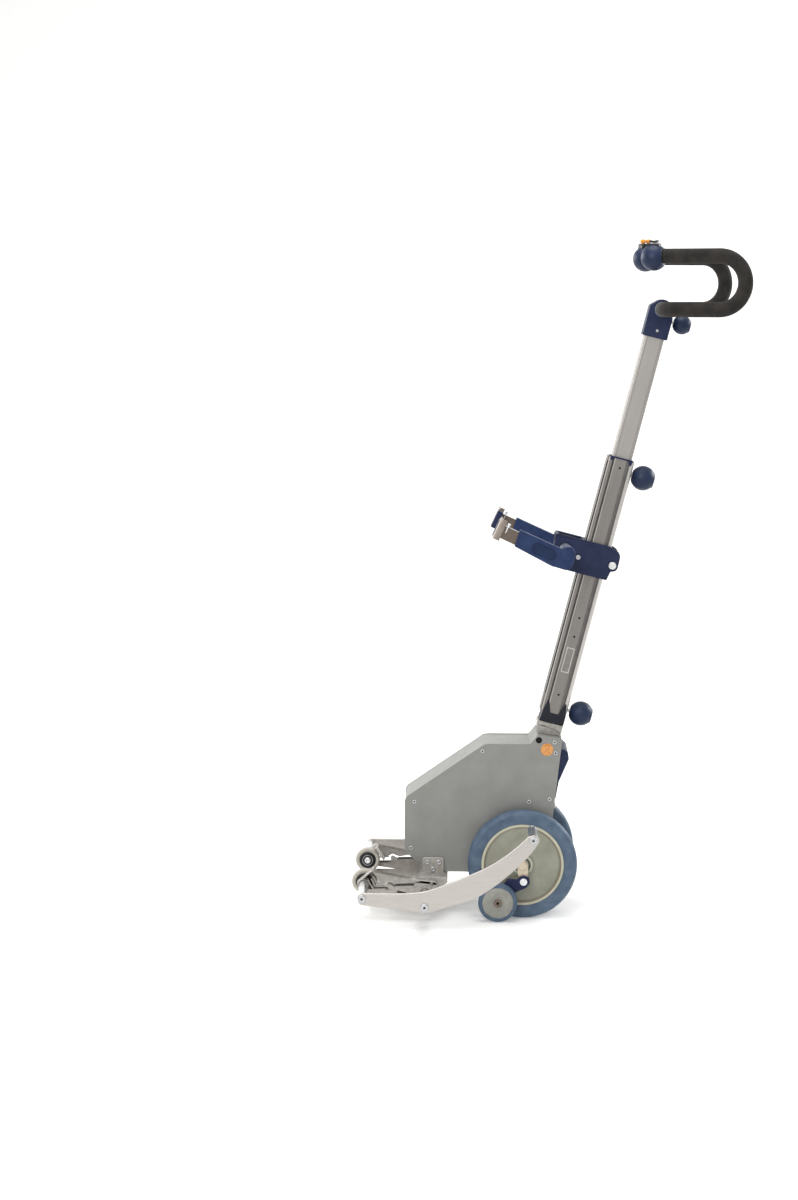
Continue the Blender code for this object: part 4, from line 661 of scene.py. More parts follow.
for side, sign in SIDES.items():
    plate = slab(rounded(PLATE_CORNERS, 8), sign * HALF_BOX, sign * (HALF_BOX - PLATE),
                 holes=[AXLE_HOLE, PEEP_HOLE], edge=0.0009)
    fit("side_plate_" + side + "_dressed", plate, COAT, "base",
        stands_for=["side_plate_" + side])
    screws = joined(*[socket_head(0.0045, 0.0018, 0.0021, (x, sign * HALF_BOX, z), sign)
                      for x, z in SCREW_PLACES])
    fit("box_screws_" + side, screws, ZINC, "base")
    # Dark discs in the screws' hexagon recesses paint their shade.
    socket_shade = painted_recess_shade([((x, sign * (HALF_BOX + 0.0010), z), sign) for x, z in SCREW_PLACES], 0.0023)
    fit("box_screw_socket_shade_" + side, socket_shade, BORE_SHADE, "base")
    # A dark disc in the peep hole paints the shade inside the box.
    plug = rod(0.0069, sign * (HALF_BOX - 0.0028), sign * (HALF_BOX - 0.0016),
               centre=(PEEP_AT[0], 0, PEEP_AT[1]))
    fit("peep_hole_shade_" + side, plug, BORE_SHADE, "base")

STICKER_AT = (0.0540, 0.3760)
STICKER_THICKNESS = 0.0003
sticker = rod(0.0140, -HALF_BOX - STICKER_THICKNESS, -HALF_BOX, centre=(STICKER_AT[0], 0, STICKER_AT[1]),
              soft=0.0001, steps=48)
fit("warning_dot", sticker, STICKER, "base")
print("side plates with", len(SCREW_PLACES), "screws each")

# %% The folded sheet
SHEET = 0.002
LIP = 0.0015
WELL_RADIUS = 0.1400
WELL_FRONT = math.pi - math.asin((0.0960 + LIP - AXLE_Z) / WELL_RADIUS)
WELL_REAR = math.radians(58)


def thickened(line, thickness):
    """The closed outline of a bent sheet: its line, and a copy to the left."""
    copy = []
    for i, here in enumerate(line):
        sides = [(here - other).normalized() for other in line[max(i - 1, 0):i]]
        sides += [(other - here).normalized() for other in line[i + 1:i + 2]]
        normals = [Vector((-way.y, way.x)) for way in sides]
        mitre = sum(normals, Vector((0, 0))).normalized()
        copy.append(here + mitre * thickness / mitre.dot(normals[0]))
    return [*line, *reversed(copy)]


folds = rounded([
    (0.0868, 0.3992), (0.0318, 0.4070, 0.004), (0.0160, 0.3885 - LIP, 0.005),
    (-0.0860, 0.3885 - LIP, 0.032),
    (-0.2640 + LIP, 0.2650, 0.022), (-0.2640 + LIP, 0.1430, 0.020), (-0.2080, 0.0960 + LIP),
], 8, closed=False)
well = [Vector((WELL_RADIUS * math.cos(a), AXLE_Z + WELL_RADIUS * math.sin(a)))
        for a in (WELL_FRONT + (WELL_REAR - WELL_FRONT) * k / 40 for k in range(41))]
half_sheet = HALF_BOX - PLATE - GAP
shell = fit("base_shell_dressed",
            slab(thickened([*folds, *well], SHEET), -half_sheet, half_sheet, edge=0.0003),
            COAT, "base", stands_for=["base_shell"])
DRIVE = Matrix.Translation((0, 0, AXLE_Z)) @ Matrix.Rotation(math.radians(12), 4, "Y")
NECK = {"low": 0.0286, "high": 0.0586, "reach": 0.143, "half_width": 0.021}
slot = slab(box_outline(-NECK["reach"] - 0.015, NECK["low"] - 0.002, -NECK["reach"] + 0.025,
                        NECK["high"] + 0.002, 0.002),
            -NECK["half_width"] - 0.002, NECK["half_width"] + 0.002, edge=0)
carve(shell, moved(slot, DRIVE))
print("folded sheet:", len(shell.data.polygons), "faces")

# %% [markdown]
# ## The casting under the column
#
# A layered aluminium casting carries the column on the box's sloping top. Its layers are drawn as
# separate plates a millimetre apart in width, so the seams between them shade as real seams do.

# %% Foot bracket
FOOT_SEAT = 0.0265


def on_base(t, s):
    """A point of the column's frame in base coordinates."""
    return (0.0535 + t * math.cos(COLUMN_TILT) + s * math.sin(COLUMN_TILT),
            0.405 - t * math.sin(COLUMN_TILT) + s * math.cos(COLUMN_TILT))


def box_top(x):
    """Height of the box's sloping top at the rear."""
    return 0.4070 + (0.3992 - 0.4070) * (x - 0.0318) / (0.0868 - 0.0318)


left_top = on_base(-0.0265, FOOT_SEAT - GAP)
right_top = on_base(0.0320, FOOT_SEAT - GAP)
left_mid = on_base(-0.0265, 0.0165)
right_mid = on_base(0.0320, 0.0050)
X_LEFT, X_RIGHT = 0.0345, 0.0845
upper = rounded([(*left_mid, 0.002), (*left_top, 0.002), (*right_top, 0.002), (*right_mid, 0.002),
                 (0.0760, 0.4125, 0.012), (0.0560, 0.4205, 0.016)], 6)
lower = rounded([(X_LEFT, box_top(X_LEFT) + GAP, 0.001),
                 (left_mid[0] + 0.0006, left_mid[1] - 0.0008, 0.002),
                 (0.0560, 0.4195, 0.016), (0.0755, 0.4115, 0.010),
                 (right_mid[0] - 0.001, right_mid[1] - 0.001, 0.002),
                 (X_RIGHT, box_top(X_RIGHT) + GAP, 0.001)], 6)
middle_layer = rounded([(0.0380, 0.4120, 0.003), (0.0400, 0.4190, 0.004), (0.0560, 0.4225, 0.012),
                        (0.0790, 0.4130, 0.006), (0.0815, 0.4060, 0.003)], 6)
bracket = joined(slab(upper, -0.0290, 0.0290, edge=0.0012), slab(lower, -0.0284, 0.0284, edge=0.0010),
                 slab(middle_layer, -0.0272, 0.0272, edge=0.0006),
                 rod(0.0062, -0.0262, 0.0262, centre=(0.0385, 0, 0.4190), soft=0.002, steps=40))
bracket = fit("foot_bracket_dressed", bracket, CASTING, "base",
              stands_for=["foot_bracket"])
SEAM_LINES = [[(0.0430, 0.4245), (0.0560, 0.4232, 0.010), (0.0700, 0.4180, 0.010), (0.0840, 0.4068)],
              [(0.0470, 0.4315), (0.0620, 0.4280, 0.012), (0.0850, 0.4150)]]
seams = [slab(thickened(rounded(line, 6, closed=False), 0.0008), sign * 0.0276, sign * 0.0300, edge=0)
         for sign in SIDES.values() for line in SEAM_LINES]
ovals = [slab(bar_outline((x, z), (x + 0.0030, z - 0.0005), 0.0014, 0.00139, 8), sign * 0.0270,
              sign * 0.0300, edge=0)
         for sign in SIDES.values()
         for x, z in ((0.0430, 0.4108), (0.0545, 0.4115), (0.0640, 0.4085), (0.0730, 0.4070))]
carve(bracket, *seams, *ovals)
print("foot bracket in three layers")

# %% [markdown]
# ## Axle, links and edge brakes
#
# Each end of the main axle carries a beige link, and from it hangs the arm of the edge brake with
# its small wheel: when the machine rolls over an edge, the small wheel drops and blocks the
# main one. Bolt heads sit on washers, and every round head gets its own rolled edge.

# %% Main axle, links and brake arms
TRACK_HALF = 0.090
LINK_FACE = 0.1095
LINK = 0.006
ARM = 0.006
PIVOT = (0.002, 0.0872)
SMALL_WHEEL = (-0.0555, 0.0435)
AXLE_END = LINK_FACE + LINK
ARM_CORNERS = [
    (0.0062, -0.0136, 0.004), (0.0140, -0.0030, 0.006), (0.0130, 0.0100, 0.008), (0.0000, 0.0145, 0.008),
    (-0.0105, 0.0100, 0.004), (-0.0130, 0.0056, 0.002), (-0.0360, 0.0070, 0.003), (-0.0395, 0.0010, 0.003),
    (-0.0705, -0.0397, 0.008), (-0.0685, -0.0557, 0.010), (-0.0475, -0.0577, 0.010),
    (-0.0170, -0.0235, 0.010),
]

fit("main_axle_dressed", rod(TUBE_RADIUS, -AXLE_END, AXLE_END), ZINC, "base",
    at(0, 0, AXLE_Z), ["main_axle"])
caps = joined(*[rod(TUBE_RADIUS, sign * (AXLE_END + 0.0001), sign * (AXLE_END + 0.0014), steps=48)
                for sign in SIDES.values()])
fit("axle_caps", caps, ENAMEL, "base", at(0, 0, AXLE_Z))

for side, sign in SIDES.items():
    outline = bar_outline((0, AXLE_Z), PIVOT, 0.0124, 0.0103)
    link = slab(outline, sign * LINK_FACE, sign * (LINK_FACE + LINK), holes=[AXLE_HOLE], edge=0.0011)
    fit("brake_link_" + side + "_dressed", link, ENAMEL, "base",
        stands_for=["brake_link_" + side])
    near = LINK_FACE + LINK + GAP
    far = near + ARM
    shank = rod(0.0038, sign * (near - 0.003), sign * (far + GAP), centre=(PIVOT[0], 0, PIVOT[1]))
    washer = lathe([(0, 0), (0.0080, 0), (0.0080, 0.0008), (0, 0.0008)],
                   centre=(PIVOT[0], sign * (far + GAP), PIVOT[1]))
    head = socket_head(0.0055, 0.0026, 0.0024, (PIVOT[0], sign * (far + 0.0009), PIVOT[1]), sign)
    bolt = joined(shank, washer, head)
    fit("brake_pin_" + side, bolt, BRIGHT, "base")
    arm_place = at(PIVOT[0], 0, PIVOT[1])
    wheel_at = (SMALL_WHEEL[0] - PIVOT[0], SMALL_WHEEL[1] - PIVOT[1])
    arm = slab(rounded(ARM_CORNERS, 6), sign * near, sign * far, holes=[circle(0, 0, 0.0043, 24)],
               edge=0.0014)
    fit("brake_arm_" + side + "_dressed", arm, ARM_NAVY, "brake_arm_" + side, arm_place,
        ["brake_arm_" + side])
    start = far + 0.0006
    end = start + 0.019
    stub = joined(rod(0.0058, sign * (near + 0.002), sign * (end + GAP),
                      centre=(wheel_at[0], 0, wheel_at[1])),
                  socket_head(0.0094, 0.0026, 0.0036, (wheel_at[0], sign * (end + GAP), wheel_at[1]), sign))
    fit("brake_stub_" + side, stub, BROWNED, "brake_arm_" + side, arm_place)
    # A dark disc in the stub's recess paints its shade.
    stub_shade = painted_recess_shade([((wheel_at[0], sign * (end + 0.0018), wheel_at[1]), sign)], 0.0038)
    fit("brake_stub_socket_shade_" + side, stub_shade, BORE_SHADE, "brake_arm_" + side, arm_place)

    wheel_place = at(SMALL_WHEEL[0], sign * (start + end) / 2, SMALL_WHEEL[1])
    half = 0.0095
    tyre = lathe(both_halves([(0.0345, half - 0.0006, 0.0006), (0.0358, half, 0.0006),
                              (0.0415, half - 0.0004, 0.002), (0.0435, half - 0.0040, 0.002)]), steps=96)
    fit("brake_tyre_" + side, tyre, RUBBER, "brake_wheel_" + side, wheel_place,
        ["brake_wheel_" + side])
    hub = lathe(both_halves([(0.0063, half), (0.0135, half, 0.0006), (0.0148, half - 0.0022, 0.001),
                             (0.0325, half - 0.0022, 0.0008), (0.0342, half - 0.0008, 0.0004),
                             (0.0344, half - 0.0008)]), steps=96)
    fit("brake_disc_" + side, hub, BRAKE_DISC, "brake_wheel_" + side, wheel_place)
    face = sign * (half - 0.0001)
    ring = lathe([(0.0098, 0), (0.0128, 0), (0.0128, sign * 0.0006), (0.0098, sign * 0.0006)],
                 steps=48, centre=(0, face, 0))
    fit("brake_bearing_" + side, ring, BRAKE_DISC, "brake_wheel_" + side, wheel_place)
print("links, brake arms and small wheels made")

# %% [markdown]
# ## Main wheels
#
# Each wheel is a dished polyamide disc pressed on a sealed bearing, with a solid rubber tyre. The
# disc's edge is paler than its face, and a thin seal shows where the rim begins. All of them are
# turned, so each is a profile of radius against width, spun about the axle.

# %% Discs, rims, bearings and tyres
SEAL = plain_plastic("Copper coloured seal", "8A5A48", "9C6B57", 0.45)
RIM = 0.0925
TREAD = 0.122

for side, sign in SIDES.items():
    hub_place = at(0, sign * TRACK_HALF, AXLE_Z)
    half_disc = [(0.0103, 0.0165), (0.0243, 0.0165, 0.0008), (0.0262, 0.0078, 0.0030),
                 (0.0815, 0.0070, 0.0045),
                 (0.0850, 0.0132, 0.0010), (0.0858, 0.0140, 0.0004), (0.0921, 0.0145, 0.0004)]
    disc = lathe(both_halves(half_disc), steps=128)
    fit("wheel_disc_" + side + "_dressed", disc, POLYAMIDE, "main_wheel_" + side,
        hub_place, ["wheel_disc_" + side])
    half_tyre = [(RIM - 0.0001, 0.0150, 0.0006), (0.0960, 0.0164, 0.0012), (0.0985, 0.0172, 0.0010),
                 (0.1130, 0.0170, 0.0040), (0.1185, 0.0140, 0.0030), (TREAD, 0.0085, 0.0045)]
    half_tyre += [(TREAD, 0.0022, 0.0004), (TREAD - 0.0008, 0.0012, 0.0003), (TREAD - 0.0008, 0.0, 0)]
    tyre = lathe([(r, -y, *more) for r, y, *more in half_tyre[:-1]] + half_tyre[::-1], steps=160)
    fit("main_tyre_" + side + "_dressed", tyre, RUBBER, "main_wheel_" + side, hub_place,
        ["main_tyre_" + side])
    rim_edges = ring_pair([(0.0868, 0), (0.0868, 0.0006, 0.0003), (0.0918, 0.0007, 0.0003), (0.0918, 0)],
                          0.0141, 128)
    fit("rim_edge_" + side, rim_edges, RIM_CREAM, "main_wheel_" + side, hub_place)
    seals = ring_pair([(0.0846, 0), (0.0852, 0.0006, 0.0003), (0.0860, 0)], 0.0130, 128)
    fit("rim_seal_" + side, seals, SEAL, "main_wheel_" + side, hub_place)
    # The cream ring on the hub's boss paints the highlight of the boss's edge.
    hub_rings = {"hub_bearing_": (0.0104, 0.0128, 0.0008, ZINC, "bright_steel"),
                 "hub_seal_": (0.0130, 0.0180, 0.0004, HUB_SEAL, "grey_plastic"),
                 "hub_ring_": (0.0190, 0.0212, 0.0005, RIM_CREAM, "wheel_plastic")}
    for name, (inner, outer, proud, finish, slot) in hub_rings.items():
        rings = ring_pair([(inner, 0), (inner, proud), (outer, proud), (outer, 0)], 0.0164, soft=0.0002)
        fit(name + side, rings, finish, "main_wheel_" + side, hub_place)
print("main wheels made")

# %% Support wheels under the box
SUPPORT = {"x": 0.048, "z": 0.040, "y": 0.0428, "radius": 0.040, "half": 0.010}
for side, sign in SIDES.items():
    place = at(SUPPORT["x"], sign * SUPPORT["y"], SUPPORT["z"])
    half = SUPPORT["half"]
    hub = lathe(both_halves([(0.0063, half), (0.0120, half, 0.0006), (0.0135, half - 0.003, 0.001),
                             (0.0268, half - 0.003, 0.0006), (0.0280, half - 0.0018, 0.0004)]), steps=64)
    fit("support_disc_" + side, hub, BRAKE_DISC, "support_wheel_" + side, place)
    tyre = lathe(both_halves([(0.0281, half - 0.0012, 0.0005), (0.0370, half - 0.0006, 0.002),
                              (SUPPORT["radius"], half - 0.0040, 0.002)]), steps=96)
    fit("support_tyre_" + side, tyre, RUBBER, "support_wheel_" + side, place,
        ["support_wheel_" + side])
print("support wheels made")

# %% [markdown]
# ## Battery
#
# The pack slides in from behind. Its case is two moulded halves, and the parting line between the
# body and the bulging rear cover is a groove half a millimetre wide.

# %% Battery case
PACK = {"front": -0.030, "rear": 0.0925, "top": 0.376, "wall": 0.003, "deep": 0.024, "half": 0.0605}
PACK["bottom"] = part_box("battery_case")[0].z
SEAM_X = 0.0640
cover = rounded([
    (SEAM_X + 0.0005, PACK["bottom"], 0.001), (SEAM_X + 0.0005, PACK["top"], 0.001),
    (PACK["rear"], PACK["top"], 0.008),
    (0.1010, 0.3690, 0.004), (0.1034, 0.3535, 0.006), (0.0915, 0.3260, 0.020), (0.0810, 0.3015, 0.010),
    (0.0745, PACK["bottom"], 0.002),
], 8)
body = box_outline(PACK["front"], PACK["bottom"], SEAM_X, PACK["top"], 0.003)
case = fit("battery_case_dressed",
           joined(slab(body, -PACK["half"], PACK["half"], edge=0.0015),
                  slab(cover, -PACK["half"], PACK["half"], edge=0.0025)),
           NAVY, "battery", stands_for=["battery_case"])
cavity = slab(box_outline(PACK["front"] + PACK["wall"], PACK["bottom"] + PACK["wall"],
                          PACK["rear"] - PACK["deep"],
                          PACK["top"] - PACK["wall"]), -PACK["half"] + PACK["wall"],
              PACK["half"] - PACK["wall"], edge=0)
carve(case, cavity)
print("battery case:", len(case.data.polygons), "faces")

# %% [markdown]
# ## Platform
#
# Two brushed plates stand at the machine's outer sides. Each is held by two tubes that slide in
# the cradle, and carries a peg with a domed end at its rear. Flat bolt heads with a hexagon
# recess close the tubes on the outside.

# %% Platform plates, tubes, pegs and bolts
PLATE_OUTER = 0.2605
PLATE_INNER = PLATE_OUTER - 0.006
FRONT_TUBE = (-0.353, 0.0828)
MIDDLE_TUBE = (-0.2168, 0.0640)
REAR_PEG = (0.0185, 0.2140)
MIDDLE_BORE = circle(*MIDDLE_TUBE, TUBE_RADIUS + GAP, 32)
BOLT_HOLE = 0.0043
ARM_NEAR, ARM_FAR = 0.1135, 0.1355
PLATFORM_CORNERS = [
    (0.0085, 0.2232, 0.010), (-0.0507, 0.1663, 0.340), (-0.1505, 0.1232, 0.750), (-0.2160, 0.0990, 0.160),
    (-0.2625, 0.0948, 0.420), (-0.3620, 0.0955, 0.0115), (-0.3620, 0.0700, 0.0115),
    (-0.2260, 0.0530, 0.015),
    (-0.2040, 0.0530, 0.015), (-0.1002, 0.0853, 0.210), (-0.0456, 0.1265, 0.500), (0.0113, 0.1788, 0.240),
    (0.0335, 0.2140, 0.010), (0.0240, 0.2270, 0.010),
]


def tube_with_bolt(start, sign):
    """A tube from its open end to the plate, and the bolt's shank through the plate."""
    wall = 0.002
    profile = [(0, PLATE_INNER - 0.020), (TUBE_RADIUS - wall, PLATE_INNER - 0.020),
               (TUBE_RADIUS - wall, start, 0.0004),
               (TUBE_RADIUS, start, 0.0008), (TUBE_RADIUS, PLATE_INNER - GAP, 0.0004),
               (0.0040, PLATE_INNER - GAP), (0.0040, PLATE_OUTER + GAP), (0, PLATE_OUTER + GAP)]
    return lathe([(r, sign * y, *more) for r, y, *more in profile], steps=48)


for side, sign in SIDES.items():
    body = "platform_" + side
    holes = [circle(x, z, BOLT_HOLE, 24) for x, z in (FRONT_TUBE, MIDDLE_TUBE, REAR_PEG)]
    plate = slab(rounded(PLATFORM_CORNERS, 12), sign * PLATE_INNER, sign * PLATE_OUTER, holes=holes,
                 edge=0.0012)
    fit("platform_plate_" + side + "_dressed", plate, BRUSHED_PLATE, body,
        stands_for=["platform_plate_" + side])
    starts = {"front_tube_": (ARM_FAR - 0.0145, FRONT_TUBE), "middle_tube_": (0.008, MIDDLE_TUBE)}
    for name, (start, (x, z)) in starts.items():
        fit(name + side + "_dressed", tube_with_bolt(start, sign), BRIGHT, body,
            at(x, 0, z), [name + side])
    dome = [(0, 0.1500), (0.0045, 0.1503, 0.002), (0.0092, 0.1530, 0.003), (0.0110, 0.1572, 0.003),
            (0.0110, 0.1640, 0.0006), (0.0104, 0.1646, 0.0004), (0.0104, PLATE_INNER - 0.0100, 0.0004),
            (0.0110, PLATE_INNER - 0.0094, 0.0006), (0.0110, PLATE_INNER - GAP, 0.0006),
            (0.0040, PLATE_INNER - GAP), (0.0040, PLATE_OUTER + GAP), (0, PLATE_OUTER + GAP)]
    peg = lathe([(r, sign * y, *more) for r, y, *more in dome], steps=48)
    fit("rear_peg_" + side + "_dressed", peg, ZINC, body, at(REAR_PEG[0], 0, REAR_PEG[1]),
        ["rear_peg_" + side])
    bolts_at = (FRONT_TUBE, MIDDLE_TUBE, REAR_PEG)
    heads = [socket_head(0.0093, 0.0032, 0.0026, (x, sign * (PLATE_OUTER + GAP), z), sign)
             for x, z in bolts_at]
    rings = [lathe([(0.0062, 0), (0.0062, sign * 0.0005), (0.0072, sign * 0.0005), (0.0072, 0)], steps=48,
                   centre=(x, sign * (PLATE_OUTER + 0.0033), z)) for x, z in bolts_at]
    fit("platform_bolts_" + side, joined(*heads, *rings), ZINC, body)
    # Dark discs in the bolts' recesses paint their shade.
    socket_shade = painted_recess_shade([((x, sign * (PLATE_OUTER + 0.0020), z), sign) for x, z in bolts_at], 0.0028)
    fit("platform_bolt_sockets_" + side, socket_shade, BORE_SHADE, body)
print("platform made")

# %% [markdown]
# ## Cradle and skate rollers
#
# The cradle is one casting: two ribbed arms joined by a plate under the box. Its arms were cast
# with nested chevron ribs and deep pockets to save weight, so the pockets are cut here and their
# floors stay dark. A skate roller turns on a bolt inside each arm.

# %% Cradle arms, ribs and bridge
CRADLE_CORNERS = [
    (-0.3690, 0.0870, 0.004), (-0.3345, 0.1158, 0.004), (-0.3120, 0.0860, 0.004), (-0.2965, 0.0946, 0.004),
    (-0.2800, 0.0886, 0.006), (-0.2380, 0.0950, 0.008), (-0.1900, 0.0900, 0.008), (-0.1880, 0.0640, 0.010),
    (-0.2050, 0.0490, 0.010), (-0.2400, 0.0490, 0.010), (-0.2800, 0.0560, 0.010), (-0.3640, 0.0680, 0.010),
]
WINDOW = rounded([(-0.2985, 0.0745, 0.002), (-0.2985, 0.0835, 0.002), (-0.2840, 0.0760, 0.002),
                  (-0.2845, 0.0735, 0.002)], 4)
LOWER_POCKET = rounded([(-0.2790, 0.0640, 0.0015), (-0.2790, 0.0705, 0.0015), (-0.2590, 0.0660, 0.0015),
                        (-0.2600, 0.0620, 0.0015)], 4)
REAR_POCKET = rounded([(-0.2450, 0.0800, 0.003), (-0.2380, 0.0885, 0.003), (-0.2000, 0.0850, 0.003),
                       (-0.1985, 0.0740, 0.003), (-0.2020, 0.0810, 0.002)], 4)


def groove(line, width):
    """A narrow channel along a bent line, as an outline."""
    return thickened([Vector(p) for p in line], width)


CHEVRONS = [
    groove(rounded([(-0.3455, 0.0935), (-0.3325, 0.0715, 0.003), (-0.3030, 0.0725)], 4, closed=False),
           0.0022),
    groove(rounded([(-0.3380, 0.0965), (-0.3275, 0.0785, 0.003), (-0.3050, 0.0795)], 4, closed=False),
           0.0022),
    groove(rounded([(-0.3330, 0.1010), (-0.3235, 0.0850, 0.003), (-0.3125, 0.0830)], 4, closed=False),
           0.0020),
]
BLOCK_LOW, BLOCK_FRONT, BLOCK_REAR = 0.0505, -0.2303, -0.2033
BRIDGE_CORNERS = [
    (-0.3430, 0.0575, 0.002), (-0.3430, 0.0525, 0.002), (BLOCK_FRONT - 0.004, 0.0525, 0.002),
    (BLOCK_FRONT + 0.004, BLOCK_LOW, 0.004), (BLOCK_REAR - 0.004, BLOCK_LOW, 0.004),
    (BLOCK_REAR, BLOCK_LOW + 0.006, 0.004), (BLOCK_REAR + 0.036, 0.0837, 0.004),
    (BLOCK_REAR + 0.036, 0.0957), (BLOCK_FRONT, 0.0957), (BLOCK_FRONT, 0.0575, 0.003),
]
cradle = joined(slab(rounded(BRIDGE_CORNERS, 6), -ARM_NEAR - 0.001, ARM_NEAR + 0.001, holes=[MIDDLE_BORE],
                     edge=0.0008))
bolts = []
for side, sign in SIDES.items():
    arm = slab(rounded(CRADLE_CORNERS, 8), sign * ARM_NEAR, sign * ARM_FAR,
               holes=[WINDOW, MIDDLE_BORE, circle(*FRONT_TUBE, TUBE_RADIUS + GAP, 32)], edge=0.0016)
    lug = slab(box_outline(-0.2240, 0.0860, -0.1760, 0.1300, 0.006), sign * (HALF_BOX + GAP),
               sign * (HALF_BOX + 0.0063), edge=0.0012)
    plug = rod(0.0112, sign * (ARM_NEAR + 0.0002), sign * (ARM_FAR - 0.0202),
               centre=(FRONT_TUBE[0], 0, FRONT_TUBE[1]))
    guard = slab(thickened([Vector((-0.3127, 0.0866)), Vector((-0.3325, 0.1130))], 0.0045),
                 sign * (HALF_BOX + 0.0208), sign * (ARM_NEAR + 0.0005), edge=0.0010)
    cradle = joined(cradle, arm, lug, plug, guard)
    bolts += [socket_head(0.0055, 0.0030, 0.0026, (x, sign * (HALF_BOX + 0.0063), z), sign)
              for x, z in ((-0.2130, 0.1190), (-0.1870, 0.1190), (-0.2000, 0.1030))]
made = fit("platform_bracket_dressed", cradle, CASTING, "base",
           stands_for=["platform_bracket"])
pockets = [slab(shape, sign * (ARM_FAR - cut_depth), sign * (ARM_FAR + 0.002), edge=0)
           for sign in SIDES.values()
           for shape, cut_depth in [*((c, 0.0020) for c in CHEVRONS), (LOWER_POCKET, 0.012),
                                    (REAR_POCKET, 0.006)]]
carve(made, *pockets)
fit("bracket_bolts", joined(*bolts), ZINC, "base")

for side, sign in SIDES.items():
    pin = joined(rod(0.0060, sign * 0.0892, sign * 0.1140, centre=(FRONT_TUBE[0], 0, FRONT_TUBE[1])),
                 socket_head(0.0067, 0.0024, 0.0028, (FRONT_TUBE[0], sign * 0.0892, FRONT_TUBE[1]), -sign))
    fit("roller_pin_" + side, pin, BRIGHT, "base")
print("cradle:", len(made.data.polygons), "faces")

# %% Skate rollers
ROLLER_Y = 0.1005

for side, sign in SIDES.items():
    place = at(FRONT_TUBE[0], sign * ROLLER_Y, FRONT_TUBE[1])
    half = [(0.0190, 0.0080, 0.0004), (0.0215, 0.0088, 0.0030), (0.0245, 0.0092, 0.0020),
            (0.0272, 0.0068, 0.0020), (0.0280, 0.0030, 0.002)]
    tread = lathe(both_halves(half), steps=96)
    fit("skate_roller_" + side + "_dressed", tread, ROLLER_WHITE, "skate_" + side, place,
        ["skate_roller_" + side])
    half = [(0.0075, 0.0104, 0.0004), (0.0148, 0.0104, 0.0004), (0.0189, 0.0090, 0.0005)]
    shield = lathe(both_halves(half), steps=96)
    fit("skate_shield_" + side, shield, BLACK_PLASTIC, "skate_" + side, place)
    bore = [(0.0062, -0.0108), (0.0062, 0.0108), (0.0074, 0.0108), (0.0074, -0.0108)]
    shield_rings = ring_pair([(0.0111, 0), (0.0111, 0.0005, 0.0002), (0.0121, 0.0005, 0.0002), (0.0121, 0)],
                             0.0102, 96)
    race = joined(lathe(bore, steps=64), shield_rings)
    fit("skate_bearing_" + side, race, ZINC, "skate_" + side, place)
print("skate rollers made")

# %% [markdown]
# ## Column
#
# The column is an aluminium extrusion. Its section has grooves and a shallow recess along both
# flanks, which catch the light as long fine lines; the whole length is one outline drawn out along
# the column. Thin strips on the flanks add painted highlights along edges and the rear corner, and
# painted shade in a groove and on a slope. A second, smaller extrusion telescopes inside it.

# %% Outer extrusion
FRONT_FACE, REAR_FACE, FLANK = -0.0275, 0.0325, 0.0275
COLUMN_LOW, COLUMN_HIGH = 0.0484, 0.6385
COLUMN_WALL = 0.0035
HOLE_HEIGHTS = (0.0925, 0.2283, 0.2719, 0.6180)
KNOB_HEIGHTS = {"lower": 0.0600, "column": COLUMN_HIGH - 0.0307, "head": 0.9560}
REBATE = 0.0200
flank = [
    (FRONT_FACE, REBATE), (-0.0248, REBATE), (-0.0248, FLANK, 0.0007), (-0.0224, FLANK, 0.0004),
    (-0.0221, FLANK - 0.0008), (-0.0166, FLANK - 0.0008), (-0.0161, FLANK - 0.0037),
    (-0.0124, FLANK - 0.0037),
    (-0.0119, FLANK, 0.0003), (-0.0100, FLANK, 0.0003), (-0.0097, FLANK - 0.0006), (0.0140, FLANK - 0.0006),
    (0.0144, FLANK, 0.0002), (0.0152, FLANK, 0.0003), (0.0224, FLANK - 0.0031),
    (0.0232, FLANK - 0.0004, 0.0002), (0.0238, FLANK, 0.0003), (REAR_FACE, FLANK, 0.0082),
]
rear_slot = [(REAR_FACE, 0.0060), (REAR_FACE - 0.0012, 0.0056), (REAR_FACE - 0.0012, -0.0056),
             (REAR_FACE, -0.0060)]
front_slot = [(FRONT_FACE, -0.0050), (FRONT_FACE + 0.0012, -0.0046), (FRONT_FACE + 0.0012, 0.0046),
              (FRONT_FACE, 0.0050)]
section = rounded([*flank, *rear_slot, *[(t, -y, *more) for t, y, *more in reversed(flank)],
                   *front_slot], 8)
BORE_HALF = 0.0213
bore = box_outline(FRONT_FACE + COLUMN_WALL + 0.0002, -BORE_HALF, REAR_FACE - COLUMN_WALL, BORE_HALF, 0.003)
tube = fit("outer_column_dressed", slab(section, COLUMN_LOW, COLUMN_HIGH, "Z", holes=[bore], edge=0.0003),
           EXTRUSION, "column", COLUMN, ["outer_column"])
stems = [rod(0.0038, REAR_FACE - 0.008, REAR_FACE + 0.005, "X", (0, 0, KNOB_HEIGHTS[name]), soft=0)
         for name in ("lower", "column")]
row = [rod(0.0025, sign * (FLANK - 0.006), sign * (FLANK + 0.001), "Y", (0.004, 0, s), soft=0)
       for sign in SIDES.values() for s in HOLE_HEIGHTS]
carve(tube, *stems, *row)
